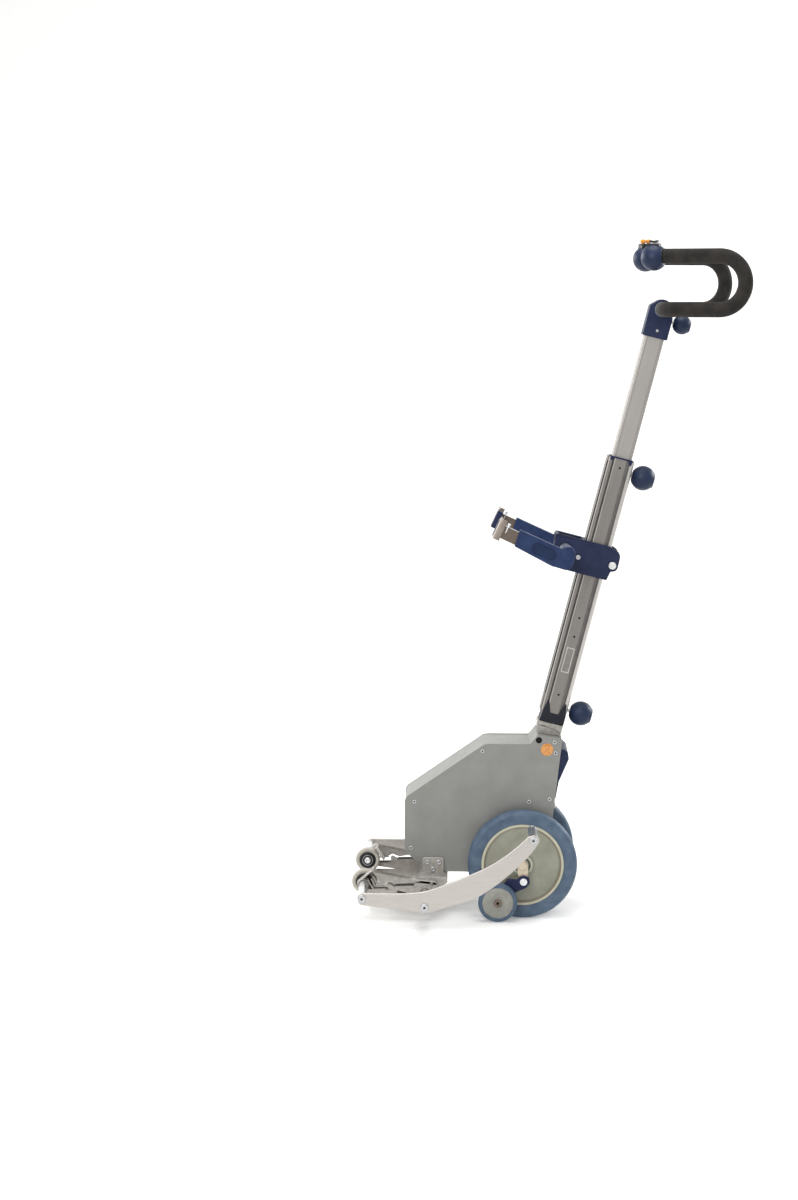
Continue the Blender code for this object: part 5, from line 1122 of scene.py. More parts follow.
# Dark discs in the column's holes paint their shade.
hole_shade = painted_recess_shade([((0.004, sign * (FLANK - 0.0016), s), sign) for sign in SIDES.values()
                        for s in HOLE_HEIGHTS], 0.0027)
fit("column_hole_shade", hole_shade, BORE_SHADE, "column", COLUMN)
rail = joined(*[slab(box_outline(FRONT_FACE + 0.0001, 0.090, -0.0249, 0.628, 0.0004),
                     sign * (REBATE + 0.0002), sign * (FLANK - 0.0002), edge=0.0004)
                for sign in SIDES.values()])
fit("column_rail", rail, BLACK_PLASTIC, "column", COLUMN)
lobe_centre = Vector((REAR_FACE - 0.0082, FLANK - 0.0082))
lobe = [lobe_centre + 0.0081 * Vector((math.sin(a), math.cos(a)))
        for a in (math.radians(90 * k / 12) for k in range(13))]
# Thin strips on the flanks: bright ones paint highlights on the edges and the rear corner, dark ones paint
# shade in a groove and on a slope.
FLANK_BANDS = {
    "column_lines": (PAINTED_HIGHLIGHT,
                     [[(-0.0247, FLANK), (-0.0226, FLANK)], [(-0.0118, FLANK), (-0.0103, FLANK)],
                      [(0.0242, FLANK - 0.0001), *lobe, (REAR_FACE - 0.0001, 0.0120)]]),
    "column_grooves": (GROOVE_SHADE, [[(-0.0159, FLANK - 0.0036), (-0.0126, FLANK - 0.0036)]]),
    "column_slopes": (SLOPE_SHADE, [[(0.0153, FLANK - 0.00005), (0.0224, FLANK - 0.00305)]]),
}
for name, (finish, lines) in FLANK_BANDS.items():
    bands = [slab([(p.x, sign * p.y) for p in thickened([Vector(p) for p in line], 0.0005)], 0.052, 0.637,
                  "Z", edge=0.0001)
             for line in lines for sign in SIDES.values()]
    fit(name, joined(*bands), finish, "column", COLUMN)
print("outer column:", len(tube.data.polygons), "faces")

# %% Name plate without a name, rivets
LABEL = {"t": (-0.0052, 0.0122), "s": (0.145, 0.202)}
NAMEPLATE = plain_plastic("Grey name plate lacquer", "7C7976", "888581", 0.36)
PLATE_EDGE = plain_plastic("Light name plate edge", "C7C5C0", "D2D0CB", 0.34)
border = slab(box_outline(LABEL["t"][0], LABEL["s"][0], LABEL["t"][1], LABEL["s"][1], 0.0012),
              -FLANK + 0.0001, -FLANK + 0.0007, edge=0.0001)
fit("name_plate_edge", border, PLATE_EDGE, "column", COLUMN)
inner = slab(box_outline(LABEL["t"][0] + 0.0014, LABEL["s"][0] + 0.0014, LABEL["t"][1] - 0.0014,
                         LABEL["s"][1] - 0.0014, 0.0008),
             -FLANK, -FLANK + 0.0002, edge=0.00005)
fit("name_plate_face", inner, NAMEPLATE, "column", COLUMN)
rivet = lathe([(0, 0), (0.0030, 0, 0.0002), (0.0028, 0.0003, 0.0002), (0, 0.0004)], steps=32)
rivet = moved(rivet, Matrix.Translation((0.004, -FLANK + 0.0006, 0.1106)) @ Matrix.Diagonal((1, -1, 1, 1)))
fit("column_rivet", rivet, EXTRUSION, "column", COLUMN)

# %% Foot with its forked ears
EAR_TOP = 0.076
NOTCH = 0.048
SKIN = 0.003
block = rounded([
    (-0.0240, FOOT_SEAT, 0.002), (0.0320, FOOT_SEAT, 0.002), (0.0320, NOTCH, 0.002),
    (0.0270, EAR_TOP, 0.0012),
    (0.0240, EAR_TOP, 0.0012), (0.0140, NOTCH, 0.003), (-0.0035, NOTCH, 0.003), (-0.0130, EAR_TOP, 0.0012),
    (-0.0160, EAR_TOP, 0.0012), (-0.0215, NOTCH, 0.002),
], 6)
foot_half = FLANK + SKIN
foot = fit("column_foot_dressed", slab(block, -foot_half, foot_half, edge=0.0012), FOOT_NAVY, "column",
           COLUMN, ["column_foot"])
carve(foot, slab(box_outline(FRONT_FACE - 0.01, -FLANK - GAP, REAR_FACE + 0.01, FLANK + GAP), 0.0482,
                 EAR_TOP + 0.01, "Z", edge=0))
fit("column_spigot",
    slab(box_outline(-0.012, -0.015, 0.018, 0.015, 0.002), FOOT_SEAT - 0.016, FOOT_SEAT + 0.0005, "Z"),
    NAVY, "column", COLUMN)
print("column foot:", len(foot.data.polygons), "faces")

# %% Collar at the column's top
INNER = {"middle": 0.0036, "depth": 0.0445, "width": 0.040, "low": 0.440, "high": 0.934}
t0, t1 = INNER["middle"] - INNER["depth"] / 2, INNER["middle"] + INNER["depth"] / 2
half = INNER["width"] / 2
INNER_ROOM = (t0 - GAP, -half - GAP, t1 + GAP, half + GAP)
sleeve = box_outline(*INNER_ROOM, 0.005)
cap = slab(box_outline(-0.0214, -FLANK, 0.0285, FLANK, 0.0010), COLUMN_HIGH + GAP,
           COLUMN_HIGH + 0.0019, "Z", holes=[box_outline(*INNER_ROOM, 0.001)], edge=0.0004)
skirt = slab(box_outline(FRONT_FACE + COLUMN_WALL + 0.0005, GAP - BORE_HALF, REAR_FACE - COLUMN_WALL - GAP,
                         BORE_HALF - GAP, 0.003), COLUMN_HIGH - 0.030, COLUMN_HIGH + 0.0008, "Z",
             holes=[sleeve], edge=0.0002)
inlay = rounded([(-0.0214, 0.6386), (-0.0204, 0.6310, 0.0012), (-0.0178, 0.6310, 0.0012),
                 (-0.0135, 0.6372, 0.004),
                 (0.0195, 0.6372, 0.004), (0.0236, 0.6275, 0.0012), (0.0262, 0.6275, 0.0012),
                 (0.0285, 0.6386)], 6)
inlays = [slab(inlay, sign * (FLANK - 0.0034), sign * (FLANK + 0.0004), edge=0.0003)
          for sign in SIDES.values()]
collar = fit("column_collar_dressed", joined(cap, skirt, *inlays), ARM_NAVY, "column",
             COLUMN, ["column_collar"])
print("collar:", len(collar.data.polygons), "faces")


# %% Knobs
def knob(name, body, t, s, radius, tip, stands_for):
    """A ball knob with a flat outer end, a steel stem and a hexagon nut, turned on the column's t axis."""
    outer = t + radius * 0.90
    turns = [math.radians(-66 + 112 * k / 24) for k in range(25)]
    ball = [(0, t - radius * 0.90), (radius * 0.40, t - radius * 0.915, 0.001)]
    ball += [(radius * math.cos(a), t + radius * math.sin(a)) for a in turns]
    ball += [(radius * 0.56, outer, 0.0030), (radius * 0.42, outer + 0.0002, 0.0010), (0, outer + 0.0002)]
    place = COLUMN @ Matrix.Translation((0, 0, s))
    fit(name + "_dressed", lathe(ball, "X", 72), KNOB_NAVY, body, place, stands_for)
    fit(name + "_stem", rod(0.0035, tip, t - radius * 0.60, "X"), ZINC, body, place)
    nut = slab(circle(0, 0, 0.0062, 6), t - radius * 0.97, t - radius * 0.86, "X", edge=0.0005)
    fit(name + "_nut", nut, ZINC, body, place)


knob("lower_knob", "lower_knob", 0.0650, KNOB_HEIGHTS["lower"], 0.0275, REAR_FACE - COLUMN_WALL,
     ["lower_knob"])
knob("column_knob", "column_knob", 0.0617, KNOB_HEIGHTS["column"], 0.0275,
     t1 + GAP, ["column_knob"])
knob("head_knob", "head_knob", 0.0560, KNOB_HEIGHTS["head"], 0.0212, 0.0195, ["head_knob"])
print("three knobs")

# %% Inner tube
ridge = 0.0004
side_line = [(t0, half, 0.0045), (t0 + 0.0062, half), (t0 + 0.0065, half - 2 * ridge),
             (t0 + 0.0072, half - 2 * ridge),
             (t0 + 0.0075, half), (t1 - 0.0075, half), (t1 - 0.0072, half - 2 * ridge),
             (t1 - 0.0065, half - 2 * ridge), (t1 - 0.0062, half), (t1, half, 0.0045)]
section = rounded([*side_line, *[(t, -y, *more) for t, y, *more in reversed(side_line)]], 8)
hollow = box_outline(t0 + 0.0025, -half + 0.0025, t1 - 0.0025, half - 0.0025, 0.003)
fit("inner_tube_dressed", slab(section, INNER["low"], INNER["high"], "Z", holes=[hollow], edge=0.0003),
    INNER_TUBE, "mast", COLUMN, ["inner_tube"])

# %% Head that holds the handles
HANDLE_T, HANDLE_S = 0.0035, 0.9776
HEAD_RADIUS, HEAD_REAR, HEAD_LOW, HEAD_HALF = 0.022, 0.0315, 0.914, 0.025
HEAD_FRONT, HEAD_SHOULDER = -0.0245, 0.981
top = [(HANDLE_T + HEAD_RADIUS * math.cos(a), HANDLE_S + HEAD_RADIUS * math.sin(a))
       for a in (math.radians(18 + 108 * k / 24) for k in range(25))]
outline = [*rounded([top[-1], (HEAD_FRONT, HEAD_SHOULDER, 0.006), (HEAD_FRONT, HEAD_LOW, 0.0025),
                     (HEAD_REAR, HEAD_LOW, 0.0025), (HEAD_REAR, 0.9620, 0.006), top[0]], 6, closed=False),
           *top[1:-1]]
head = fit("handle_head_dressed",
           slab(outline, -HEAD_HALF, HEAD_HALF, holes=[circle(HANDLE_T, HANDLE_S, 0.0113, 32)], edge=0.0025,
                steps=5),
           NAVY, "mast", COLUMN, ["handle_head"])
socket = slab(box_outline(*INNER_ROOM), HEAD_LOW - 0.01, 0.9343, "Z", edge=0)
bore = rod(0.0038, HEAD_REAR - 0.013, HEAD_REAR + 0.01, "X", (0, 0, KNOB_HEIGHTS["head"]), soft=0)
carve(head, socket, bore)
carve(head, *[rod(0.0036, sign * (HEAD_HALF - 0.0012), sign * (HEAD_HALF + 0.001),
                  centre=(0.005, 0, 0.930), soft=0)
              for sign in SIDES.values()])
screws = [socket_head(0.0030, 0.0012, 0.0014, (0.005, sign * (HEAD_HALF - 0.0012), 0.930), sign)
          for sign in SIDES.values()]
fit("head_screws", joined(*screws), ZINC, "mast", COLUMN)
rings = ring_pair([(0.0113, 0), (0.0113, 0.0008, 0.0003), (0.0163, 0.0008, 0.0003), (0.0163, 0)],
                  HEAD_HALF - 0.0002, x=HANDLE_T, z=HANDLE_S)
fit("head_rings", rings, GREY_PLASTIC, "mast", COLUMN)
print("inner tube and head made")

# %% [markdown]
# ## Handles
#
# One bent tube makes both handles. Foam is pulled over it, so the foam repeats the tube's route at
# a larger radius. The route is worked out as the tube would be bent: a straight middle, a corner,
# a straight run, half a circle up and a straight run back to the ball.

# %% The route of one handle
HANDLES = COLUMN @ Matrix.Translation((HANDLE_T, 0, HANDLE_S)) @ Matrix.Rotation(-COLUMN_TILT, 4, "Y")
SPREAD = math.radians(22.4)
CORNER_Y, CORNER_RADIUS = 0.123, 0.040
LOOP_RADIUS, LOOP_X, BALL_X = 0.057, 0.4083, 0.2730
GRIP_START, GRIP_RADIUS, HANDLE_RADIUS = 0.045, 0.0162, 0.011
BALL = 0.0285


def turn_about(centre, start, axis, angle, steps):
    """Points that a start point passes as it turns about a centre."""
    return [centre + Matrix.Rotation(angle * k / steps, 3, axis) @ (start - centre)
            for k in range(steps + 1)]


def handle_route(sign):
    """The corner, the loop and the ball's place, from the handles' middle outwards."""
    heading = Vector((math.cos(SPREAD), sign * math.sin(SPREAD), 0))
    out = Vector((0, sign, 0))
    corner = out * CORNER_Y
    turn = math.pi / 2 - SPREAD
    start = corner - out * CORNER_RADIUS * math.tan(turn / 2)
    bend = turn_about(start + Vector((CORNER_RADIUS, 0, 0)), start, Vector((0, 0, -sign)), turn, 16)
    low_end = corner + heading * (LOOP_X - on_base(HANDLE_T, HANDLE_S)[0]) / math.cos(SPREAD)
    middle_of_loop = low_end + Vector((0, 0, LOOP_RADIUS))
    loop = turn_about(middle_of_loop, low_end, heading.cross(Vector((0, 0, 1))), math.pi, 32)
    back = loop[-1] - heading * (LOOP_X - BALL_X) / math.cos(SPREAD)
    return bend, loop, back


def with_steps(start, end, count):
    """Points between two ends, without them, so that long straight stretches keep an even mesh."""
    return [start.lerp(end, k / (count + 1)) for k in range(1, count + 1)]


def handle_path(sign, first, stop_short):
    """The whole way of one handle, from its first point to just short of the ball's middle."""
    bend, loop, back = handle_route(sign)
    away = (loop[-1] - back).normalized()
    last = back + away * stop_short
    return [first, *with_steps(first, bend[0], 3), *bend, *with_steps(bend[-1], loop[0], 12), *loop,
            *with_steps(loop[-1], last, 12), last]


# %% Tube and foam
half_paths = [handle_path(sign, Vector((0, sign * 0.002, 0)), 0.001) for sign in (-1, 1)]
fit("handle_tube_dressed",
    sweep(half_paths[0][::-1] + half_paths[1], HANDLE_RADIUS, HANDLE_RADIUS - 0.002), ZINC,
    "handles", HANDLES, ["handle_tube"])
for side, sign in SIDES.items():
    foam = sweep(handle_path(sign, Vector((0, sign * GRIP_START, 0)), BALL * 0.80), GRIP_RADIUS,
                 HANDLE_RADIUS + GAP, sides=48, soft=0.0025, steps=5)
    fit("grip_" + side + "_dressed", foam, FOAM, "handles", HANDLES, ["grip_" + side])
print("handle tube and foam made")

# %% Ball ends, switch housings, buttons and rocker
HOUSING_TOP = {"left": 0.0275, "right": 0.0315}
ball_places = {}
for side, sign in SIDES.items():
    _, loop, back = handle_route(sign)
    place = HANDLES @ Matrix.Translation(back) @ (loop[-1] - back).to_track_quat("X",
                                                                                 "Z").to_matrix().to_4x4()
    ball_places[side] = place
    turns = [math.radians(-90 + 138 * k / 30) for k in range(31)]
    profile = [(0 if k == 0 else BALL * math.cos(a), BALL * math.sin(a)) for k, a in enumerate(turns)]
    profile += [(BALL * 0.60, BALL * 0.78, 0.0012), (0, BALL * 0.78)]
    ball = lathe(profile, "X", 72, (0, 0, -0.0025))
    made = fit("grip_ball_" + side + "_dressed", ball, BALL_BLUE, "handles", place,
               ["grip_ball_" + side])
    bore = rod(HANDLE_RADIUS + GAP, -0.0003, BALL, "X", soft=0)
    seam = lathe([(BALL - 0.0004, -0.0003), (BALL - 0.0004, 0.0003), (BALL + 0.001, 0.0003),
                  (BALL + 0.001, -0.0003)],
                 "X", 96, (0.0035, 0, -0.0025))
    carve(made, bore, seam)
    flange = lathe([(HANDLE_RADIUS + GAP, 0.0200), (0.0182, 0.0200, 0.0005),
                    (0.0182, BALL * 0.80 - 0.0002, 0.0006),
                    (HANDLE_RADIUS + GAP, BALL * 0.80 - 0.0002)], "X", 64)
    fit("ball_flange_" + side, flange, BLACK_PLASTIC, "handles", place)
    top = HOUSING_TOP[side]
    crown = slab(rounded([(-0.0150, 0.0150, 0.001), (0.0140, 0.0150, 0.001), (0.0130, top, 0.0035),
                          (-0.0140, top, 0.0035)], 6),
                 -0.0110, 0.0110, edge=0.0022, steps=4)
    housing = fit("switch_housing_" + side, crown, BLACK_PLASTIC, "handles", place)
    if side == "right":
        carve(housing, *[rod(0.0048, top - 0.0086, top + 0.002, "Z", (x, 0, 0), soft=0)
                         for x in (-0.0070, 0.0064)])
    else:
        carve(housing, slab(box_outline(-0.0102, -0.0080, 0.0102, 0.0080, 0.001), top - 0.0020, top + 0.002,
                            "Z", edge=0))
for name, x, wide in (("down_button", -0.0070, 0.0068), ("up_button", 0.0064, 0.0060)):
    place = ball_places["right"] @ Matrix.Translation((x, 0, HOUSING_TOP["right"]))
    profile = [(0, -0.0035), (0.0045, -0.0035, 0.0003), (0.0045, 0.0023), (wide, 0.0023, 0.0006),
               (wide, 0.0060, 0.0020), (wide * 0.72, 0.0090, 0.0030), (0, 0.0099)]
    fit(name + "_dressed", lathe(profile, "Z", 48), BUTTON_ORANGE, name, place, [name])
rocker = rounded([(-0.0095, -0.0012, 0.0006), (0, -0.0024, 0.004), (0.0095, -0.0012, 0.0006),
                  (0.0095, 0.0040, 0.0010), (0.0, 0.0022, 0.010), (-0.0095, 0.0040, 0.0010)], 6)
fit("mode_rocker_dressed", slab(rocker, -0.0075, 0.0075, edge=0.0008), BLACK_PLASTIC, "mode_rocker",
    ball_places["left"] @ Matrix.Translation((0, 0, HOUSING_TOP["left"] + 0.003)), ["mode_rocker"])
print("ball ends and switches made")

# %% [markdown]
# ## Clamp
#
# A moulded carriage runs on the column. A tube across it carries two levers, and in each lever
# slides the flat bar of a bent steel hook with a plastic liner, which closes round an upright tube.

# %% Carriage
CARRIAGE = {"front": -0.0950, "low": 0.3697, "high": 0.4445, "half": 0.0360}
PIN_AT = (0.0440, 0.4048)
CLAMP_TUBE_AT = (-0.0670, 0.4150)
outline = rounded([
    (CARRIAGE["front"], CARRIAGE["high"], 0.004), (0.0280, CARRIAGE["high"], 0.006),
    (0.0560, 0.4370, 0.018),
    (0.0570, 0.3945, 0.012), (0.0435, 0.3905, 0.004), (0.0395, CARRIAGE["low"], 0.003),
    (CARRIAGE["front"] + 0.006, CARRIAGE["low"], 0.005),
], 8)
CLAMP_TUBE = 0.0135
holes = [circle(*PIN_AT, 0.0087, 40), circle(*CLAMP_TUBE_AT, CLAMP_TUBE + GAP, 48)]
carriage = fit("clamp_carriage_dressed",
               slab(outline, -CARRIAGE["half"], CARRIAGE["half"], holes=holes, edge=0.0022, steps=4),
               NAVY, "carriage", COLUMN, ["clamp_carriage"])
clear = 0.0006
column_slot = slab(box_outline(FRONT_FACE - clear, -FLANK - clear, 0.080, FLANK + clear),
                   CARRIAGE["low"] - 0.01, CARRIAGE["high"] + 0.01, "Z", edge=0)
well = slab(box_outline(CARRIAGE["front"] + 0.006, -0.030, FRONT_FACE - clear - 0.006, 0.030, 0.003),
            CLAMP_TUBE_AT[1] + CLAMP_TUBE + 0.0035, CARRIAGE["high"] + 0.01, "Z", edge=0)
seams = [slab(box_outline(CARRIAGE["front"] - 0.002, 0.4385, CARRIAGE["front"] + 0.0300, 0.4393),
              sign * (CARRIAGE["half"] - 0.0008),
              sign * (CARRIAGE["half"] + 0.001), edge=0) for sign in SIDES.values()]
carve(carriage, column_slot, well, *seams)
screws = [socket_head(0.0052, 0.0018, 0.0024, (-0.0344, sign * CARRIAGE["half"], 0.4041), sign)
          for sign in SIDES.values()]
fit("carriage_screws", joined(*screws), ZINC, "carriage", COLUMN)
trim = rounded([(CARRIAGE["front"] + 0.0010, 0.4290),
                (CARRIAGE["front"] + 0.0010, CARRIAGE["high"] - 0.0012, 0.004),
                (FRONT_FACE - 0.0010, CARRIAGE["high"] - 0.0012)], 6, closed=False)
trims = [slab(thickened(trim, 0.0013), sign * (CARRIAGE["half"] - 0.0002),
              sign * (CARRIAGE["half"] + 0.0005), edge=0.0002)
         for sign in SIDES.values()]
fit("carriage_trim", joined(*trims), BLACK_PLASTIC, "carriage", COLUMN)
pin_end = CARRIAGE["half"] + 0.001
pin = lathe([(0, -pin_end), (0.0030, -pin_end), (0.0036, -pin_end + 0.0008), (0.0084, -pin_end, 0.0008),
             (0.0084, pin_end, 0.0008), (0.0036, pin_end), (0.0030, pin_end - 0.0008),
             (0, pin_end - 0.0008)], steps=48,
            centre=(PIN_AT[0], 0, PIN_AT[1]))
fit("carriage_pin_dressed", pin, BRIGHT, "carriage", COLUMN, ["carriage_pin"])
LEVER_Y, LEVER_HALF = 0.141, 0.009
tube_end = LEVER_Y + LEVER_HALF - 0.003
tube = lathe([(CLAMP_TUBE - 0.002, -tube_end, 0.0004), (CLAMP_TUBE, -tube_end, 0.0008),
              (CLAMP_TUBE, tube_end, 0.0008),
              (CLAMP_TUBE - 0.002, tube_end, 0.0004)], steps=64,
             centre=(CLAMP_TUBE_AT[0], 0, CLAMP_TUBE_AT[1]))
fit("clamp_tube_dressed", tube, BRIGHT, "carriage", COLUMN, ["clamp_tube"])
print("carriage:", len(carriage.data.polygons), "faces")

# %% Levers and hooks
LEVER = COLUMN @ Matrix.Translation((CLAMP_TUBE_AT[0], 0,
                                     CLAMP_TUBE_AT[1])) @ Matrix.Rotation(math.radians(10.5), 4, "Y")
EYE = 0.0168
eye_arc = [(EYE * math.cos(a), EYE * math.sin(a))
           for a in (math.radians(152 - 148 * k / 24) for k in range(25))]
lower_line = [eye_arc[-1], (0.0215, -0.0200, 0.016), (0.0140, -0.0325, 0.010), (-0.0220, -0.0378, 0.020),
              (-0.1120, -0.0330, 0.002), (-0.1165, 0.0050, 0.002), (-0.0190, 0.0055, 0.003), eye_arc[0]]
LEVER_OUTLINE = [*[Vector(p) for p in eye_arc], *rounded(lower_line, 8, closed=False)[1:-1]]
SLEEVE_RADIUS, SLEEVE_LENGTH = CLAMP_TUBE + 0.003, 0.024
OVAL_ENDS = ((-0.0655, -0.0160), (-0.0335, -0.0160))
BAR = {"z": -0.0155, "half_height": 0.015, "half": 0.002, "from": -0.159, "to": -0.052}
JAW = {"face": -0.159, "sheet": 0.004, "low": -0.0370, "high": 0.0100, "back": -0.148, "depth": 0.044}
JAW_PAD = {"low": -0.0360, "high": 0.0050, "skin": 0.001, "thick": 0.008, "overhang": 0.014, "width": 0.026}
for side, sign in SIDES.items():
    middle_y = sign * LEVER_Y
    lever = fit("clamp_lever_" + side + "_dressed",
                slab(LEVER_OUTLINE, middle_y - LEVER_HALF, middle_y + LEVER_HALF, edge=0.0022, steps=5),
                LEVER_BLUE, "lever_" + side, LEVER, ["clamp_lever_" + side])
    seat = LEVER_Y - LEVER_HALF
    sleeve = lathe([(CLAMP_TUBE + GAP, seat - SLEEVE_LENGTH), (SLEEVE_RADIUS, seat - SLEEVE_LENGTH, 0.0010),
                    (SLEEVE_RADIUS, seat + 0.0004), (CLAMP_TUBE + GAP, seat + 0.0004)], steps=64)
    fit("lever_sleeve_" + side, sleeve if sign > 0 else mirror_y(sleeve), LEVER_BLUE, "lever_" + side,
        LEVER)
    face = sign * (LEVER_Y + LEVER_HALF)
    deep = sign * (LEVER_Y + LEVER_HALF - 0.0027)
    socket = rod(CLAMP_TUBE + GAP, sign * (LEVER_Y - LEVER_HALF - SLEEVE_LENGTH - 0.01), deep, soft=0,
                 steps=64)
    channel = slab(box_outline(-0.1365, BAR["z"] - BAR["half_height"] - GAP, -0.0200,
                               BAR["z"] + BAR["half_height"] + GAP),
                   middle_y - BAR["half"] - GAP, middle_y + BAR["half"] + GAP, edge=0)
    oval = slab(bar_outline(*OVAL_ENDS, 0.0125, 0.01249, 20), face - sign * 0.0016,
                face + sign * 0.002, edge=0)
    ring = slab(circle(0, 0, 0.0150, 64), face - sign * 0.0007, face + sign * 0.002,
                holes=[circle(0, 0, 0.0142, 64)], edge=0)
    screw_way = slab(box_outline(-0.1365, BAR["z"] + BAR["half_height"] - 0.001, -0.1070, 0.010),
                     middle_y - 0.0027, middle_y + 0.0027, edge=0)
    carve(lever, socket, channel, oval, ring)
    carve(lever, screw_way)
    # A darker blue disc in the oval recess paints the recess's shade.
    oval_shade = slab(bar_outline(*OVAL_ENDS, 0.0122, 0.01219, 20), face - sign * 0.0015,
                      face - sign * 0.0003, edge=0.0010)
    fit("lever_recess_shade_" + side, oval_shade, RECESS_SHADE_BLUE, "lever_" + side, LEVER)
    caps = lathe([(0, 0), (0.0138, 0), (0.0138, 0.0006, 0.0004), (0.0125, 0.0010, 0.002), (0, 0.0012)],
                 steps=64)
    caps = moved(caps, Matrix.Diagonal((1, sign, 1, 1)))
    fit("lever_cap_" + side, moved(caps, Matrix.Translation((0, face, 0))), LEVER_BLUE, "lever_" + side,
        LEVER)

    outer = LEVER_Y + BAR["half"] + JAW["sheet"]
    front = JAW["face"] - JAW["sheet"]
    bend = rounded([(front, sign * (outer - JAW["depth"]), 0.0012), (front, sign * outer, 0.0050),
                    (JAW["back"], sign * outer, 0.0012),
                    (JAW["back"], sign * (outer - JAW["sheet"]), 0.0012),
                    (JAW["face"], sign * (outer - JAW["sheet"]), 0.0015),
                    (JAW["face"], sign * (outer - JAW["depth"]), 0.0012)], 6)
    bar = slab(box_outline(BAR["from"] + 0.0002, BAR["z"] - BAR["half_height"], BAR["to"],
                           BAR["z"] + BAR["half_height"], 0.002),
               middle_y - BAR["half"], middle_y + BAR["half"], edge=0.0006)
    fit("hook_" + side + "_dressed", slab(bend, JAW["low"], JAW["high"], "Z", edge=0.0010), HOOK_METAL,
        "hook_" + side, LEVER, ["hook_" + side])
    fit("hook_bar_" + side, bar, BAR_METAL, "hook_" + side, LEVER)
    # Thin bright strips along the bar's top and bottom edges paint its highlights.
    edge_z = [BAR["z"] + BAR["half_height"], BAR["z"] - BAR["half_height"]]
    highlight_strips = [slab(box_outline(JAW["back"] - 0.002, z - 0.0007, -0.1100, z + 0.0001),
                   middle_y - BAR["half"] - 0.0001,
                   middle_y + BAR["half"] + 0.0001, edge=0.0002) for z in (edge_z[0], edge_z[1] + 0.0006)]
    fit("hook_bar_highlights_" + side, joined(*highlight_strips), BRIGHT, "hook_" + side, LEVER)
    inner = outer - JAW["depth"] - JAW_PAD["overhang"]
    pad = slab(box_outline(JAW["face"] - JAW["sheet"] - JAW_PAD["skin"], JAW_PAD["low"],
                           JAW["face"] + JAW_PAD["thick"],
                           JAW_PAD["high"], 0.0025), sign * inner, sign * (inner + JAW_PAD["width"]),
               edge=0.0012)
    fit("hook_pad_" + side, pad, NAVY, "hook_" + side, LEVER)
    wing = joined(rod(0.0022, BAR["z"], edge_z[0] + 0.0040, "Z", (-0.1420, middle_y, 0)),
                  slab(box_outline(-0.1455, edge_z[0] + 0.0020, -0.1385, edge_z[0] + 0.0078, 0.0015),
                       middle_y - 0.0010, middle_y + 0.0010, edge=0.0005))
    fit("hook_wing_screw_" + side, wing, BRIGHT, "hook_" + side, LEVER)
print("levers and hooks made")

# %% [markdown]
# ## Inside the box
#
# The lifting drive keeps its imported shapes; only its finish and a slight rounding of its edges are added
# here.

# %% Finishes of the imported nodes that stay
KEPT = {"lift_crank": ZINC, "worm_wheel": BRONZE, "worm_shaft": ZINC, "lift_motor": BLACK_PLASTIC,
        "gearbox_housing": CASTING, "motor_controller": POTTING, "battery_cells": CELL_WRAP}
for name, finish in KEPT.items():
    node = frame["nodes"][name]
    node.data.materials.clear()
    node.data.materials.append(finish)
    weld = node.modifiers.new("weld", "WELD")
    weld.merge_threshold = 0.00001
    bevel = node.modifiers.new("edges", "BEVEL")
    bevel.width, bevel.segments = 0.0004, 2
    bevel.limit_method, bevel.angle_limit = "ANGLE", math.radians(40)
print("kept nodes:", ", ".join(KEPT))

# %% [markdown]
# ## Camera, floor and light
#
# The camera's direction comes from one vanishing point, that of lines across the machine: its near
# parts shift against their far twins. The lens, 70 mm on a side of 36 mm, is a choice, and the
# distance follows from it and from the machine's real size. The floor and the background look
# white to the camera, to gloss and through glass, but light the machine only as a grey studio
# would, so colours keep their depth.

# %% Camera
camera_data = bpy.data.cameras.new("camera")
camera = bpy.data.objects.new("camera", camera_data)
bpy.context.collection.objects.link(camera)
CAMERA_AT = (-0.20050, -5.19216, 1.38240)
FOCUS_PIXELS, LONG_SIDE_PIXELS = 2333, 1200
RIGHT = Vector((0.999707, 0.024217, 0))
UP = Vector((-0.003140, 0.129589, 0.991563))
FORWARD = Vector((-0.024012, 0.991272, -0.129627))
turn = Matrix((RIGHT, UP, -FORWARD)).transposed().to_4x4()
camera.matrix_world = Matrix.Translation(CAMERA_AT) @ turn
camera_data.sensor_width = 36
camera_data.lens = camera_data.sensor_width * FOCUS_PIXELS / LONG_SIDE_PIXELS
bpy.context.scene.camera = camera


# %% Floor and world
def seen_rays(holder):
    """One for camera, glossy and transmission rays, which should see white, and zero for others."""
    rays = add(holder, "LightPath").outputs
    seen = rays["Is Camera Ray"]
    for kind in ("Is Glossy Ray", "Is Transmission Ray"):
        seen = add(holder, "Math", {"operation": "MAXIMUM"}, {0: seen, 1: rays[kind]}).outputs[0]
    return seen


world = bpy.data.worlds.new("studio")
bpy.context.scene.world = world
world.use_nodes = True
WORLD_LEVEL = 0.34
background = world.node_tree.nodes["Background"]
background.inputs["Color"].default_value = linear("FFFFFF")
level = add(world, "MapRange", {"To Min": WORLD_LEVEL, "To Max": 1.0}, {"Value": seen_rays(world)})
world.node_tree.links.new(level.outputs[0], background.inputs["Strength"])

FLOOR, shader = finish_named("Pale studio floor", 0.7, Specular_IOR_Level=0.2, Emission_Strength=0.22)
shader.inputs["Base Color"].default_value = linear("F2F2F0")
shader.inputs["Emission Color"].default_value = linear("FFFFFF")
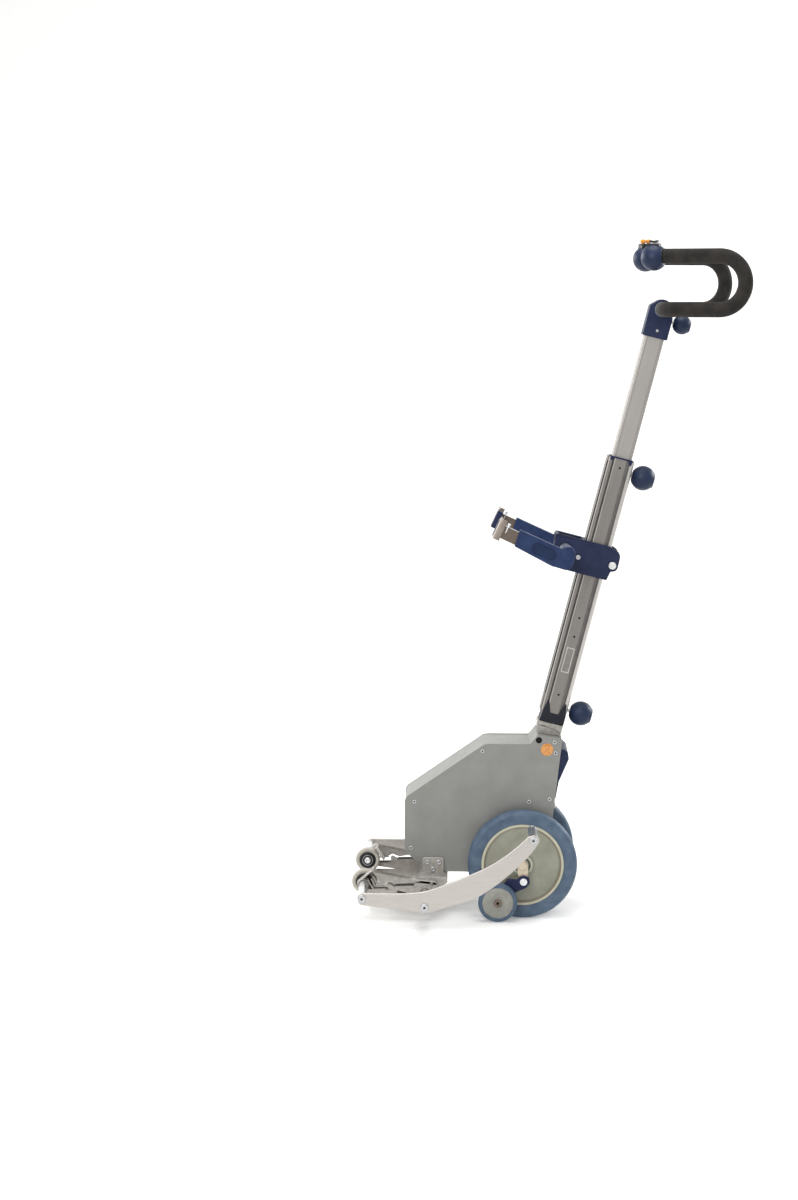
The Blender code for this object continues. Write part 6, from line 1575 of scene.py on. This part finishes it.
# A camera behind the backdrop looks through it, because only its front is drawn.
facing = add(FLOOR, "NewGeometry").outputs["Backfacing"]
see_through = add(FLOOR, "BsdfTransparent").outputs["BSDF"]
one_sided = add(FLOOR, "MixShader", None, {0: facing, 1: shader.outputs["BSDF"], 2: see_through})
FLOOR.node_tree.links.new(one_sided.outputs[0], FLOOR.node_tree.nodes["Material Output"].inputs["Surface"])

bm = bmesh.new()
reach, back_wall, height, curve = 6.0, 3.0, 5.0, 1.2
line = [Vector((-reach, 0)),
        *[Vector((back_wall - curve + curve * math.sin(a), curve - curve * math.cos(a)))
         for a in (math.pi / 2 * k / 24 for k in range(25))], Vector((back_wall, height))]
verts = [[bm.verts.new((x, p.x, p.y)) for p in line] for x in (-reach, reach)]
for k in range(len(line) - 1):
    bm.faces.new((verts[0][k], verts[1][k], verts[1][k + 1], verts[0][k + 1]))
mesh = bpy.data.meshes.new("sweep")
bm.to_mesh(mesh)
bm.free()
for face in mesh.polygons:
    face.use_smooth = True
mesh.materials.append(FLOOR)
floor = bpy.data.objects.new("studio_floor", mesh)
bpy.context.collection.objects.link(floor)


# %% Lights
def soft_light(name, place, target, size, power):
    """A square lamp of a size in metres and a power in watts, aimed at a point."""
    data = bpy.data.lights.new(name, "AREA")
    data.shape, data.size, data.energy = "SQUARE", size, power
    lamp = bpy.data.objects.new(name, data)
    lamp.matrix_world = (Matrix.Translation(place)
                         @ (Vector(target) - Vector(place)).to_track_quat("-Z", "Y").to_matrix().to_4x4())
    bpy.context.collection.objects.link(lamp)


soft_light("key", (-1.2, -3.0, 2.4), (0, 0, 0.7), 1.8, 58)
soft_light("overhead", (0.0, -0.2, 3.4), (0, 0, 0.5), 1.6, 46)
soft_light("rim_left", (-2.2, 1.6, 1.8), (0, 0, 0.8), 1.2, 40)
soft_light("rim_right", (2.4, 1.4, 1.6), (0, 0, 0.8), 1.2, 52)
bpy.context.scene.view_settings.view_transform = "Standard"
print("stage set")

# %% Final update
bpy.context.view_layer.update()
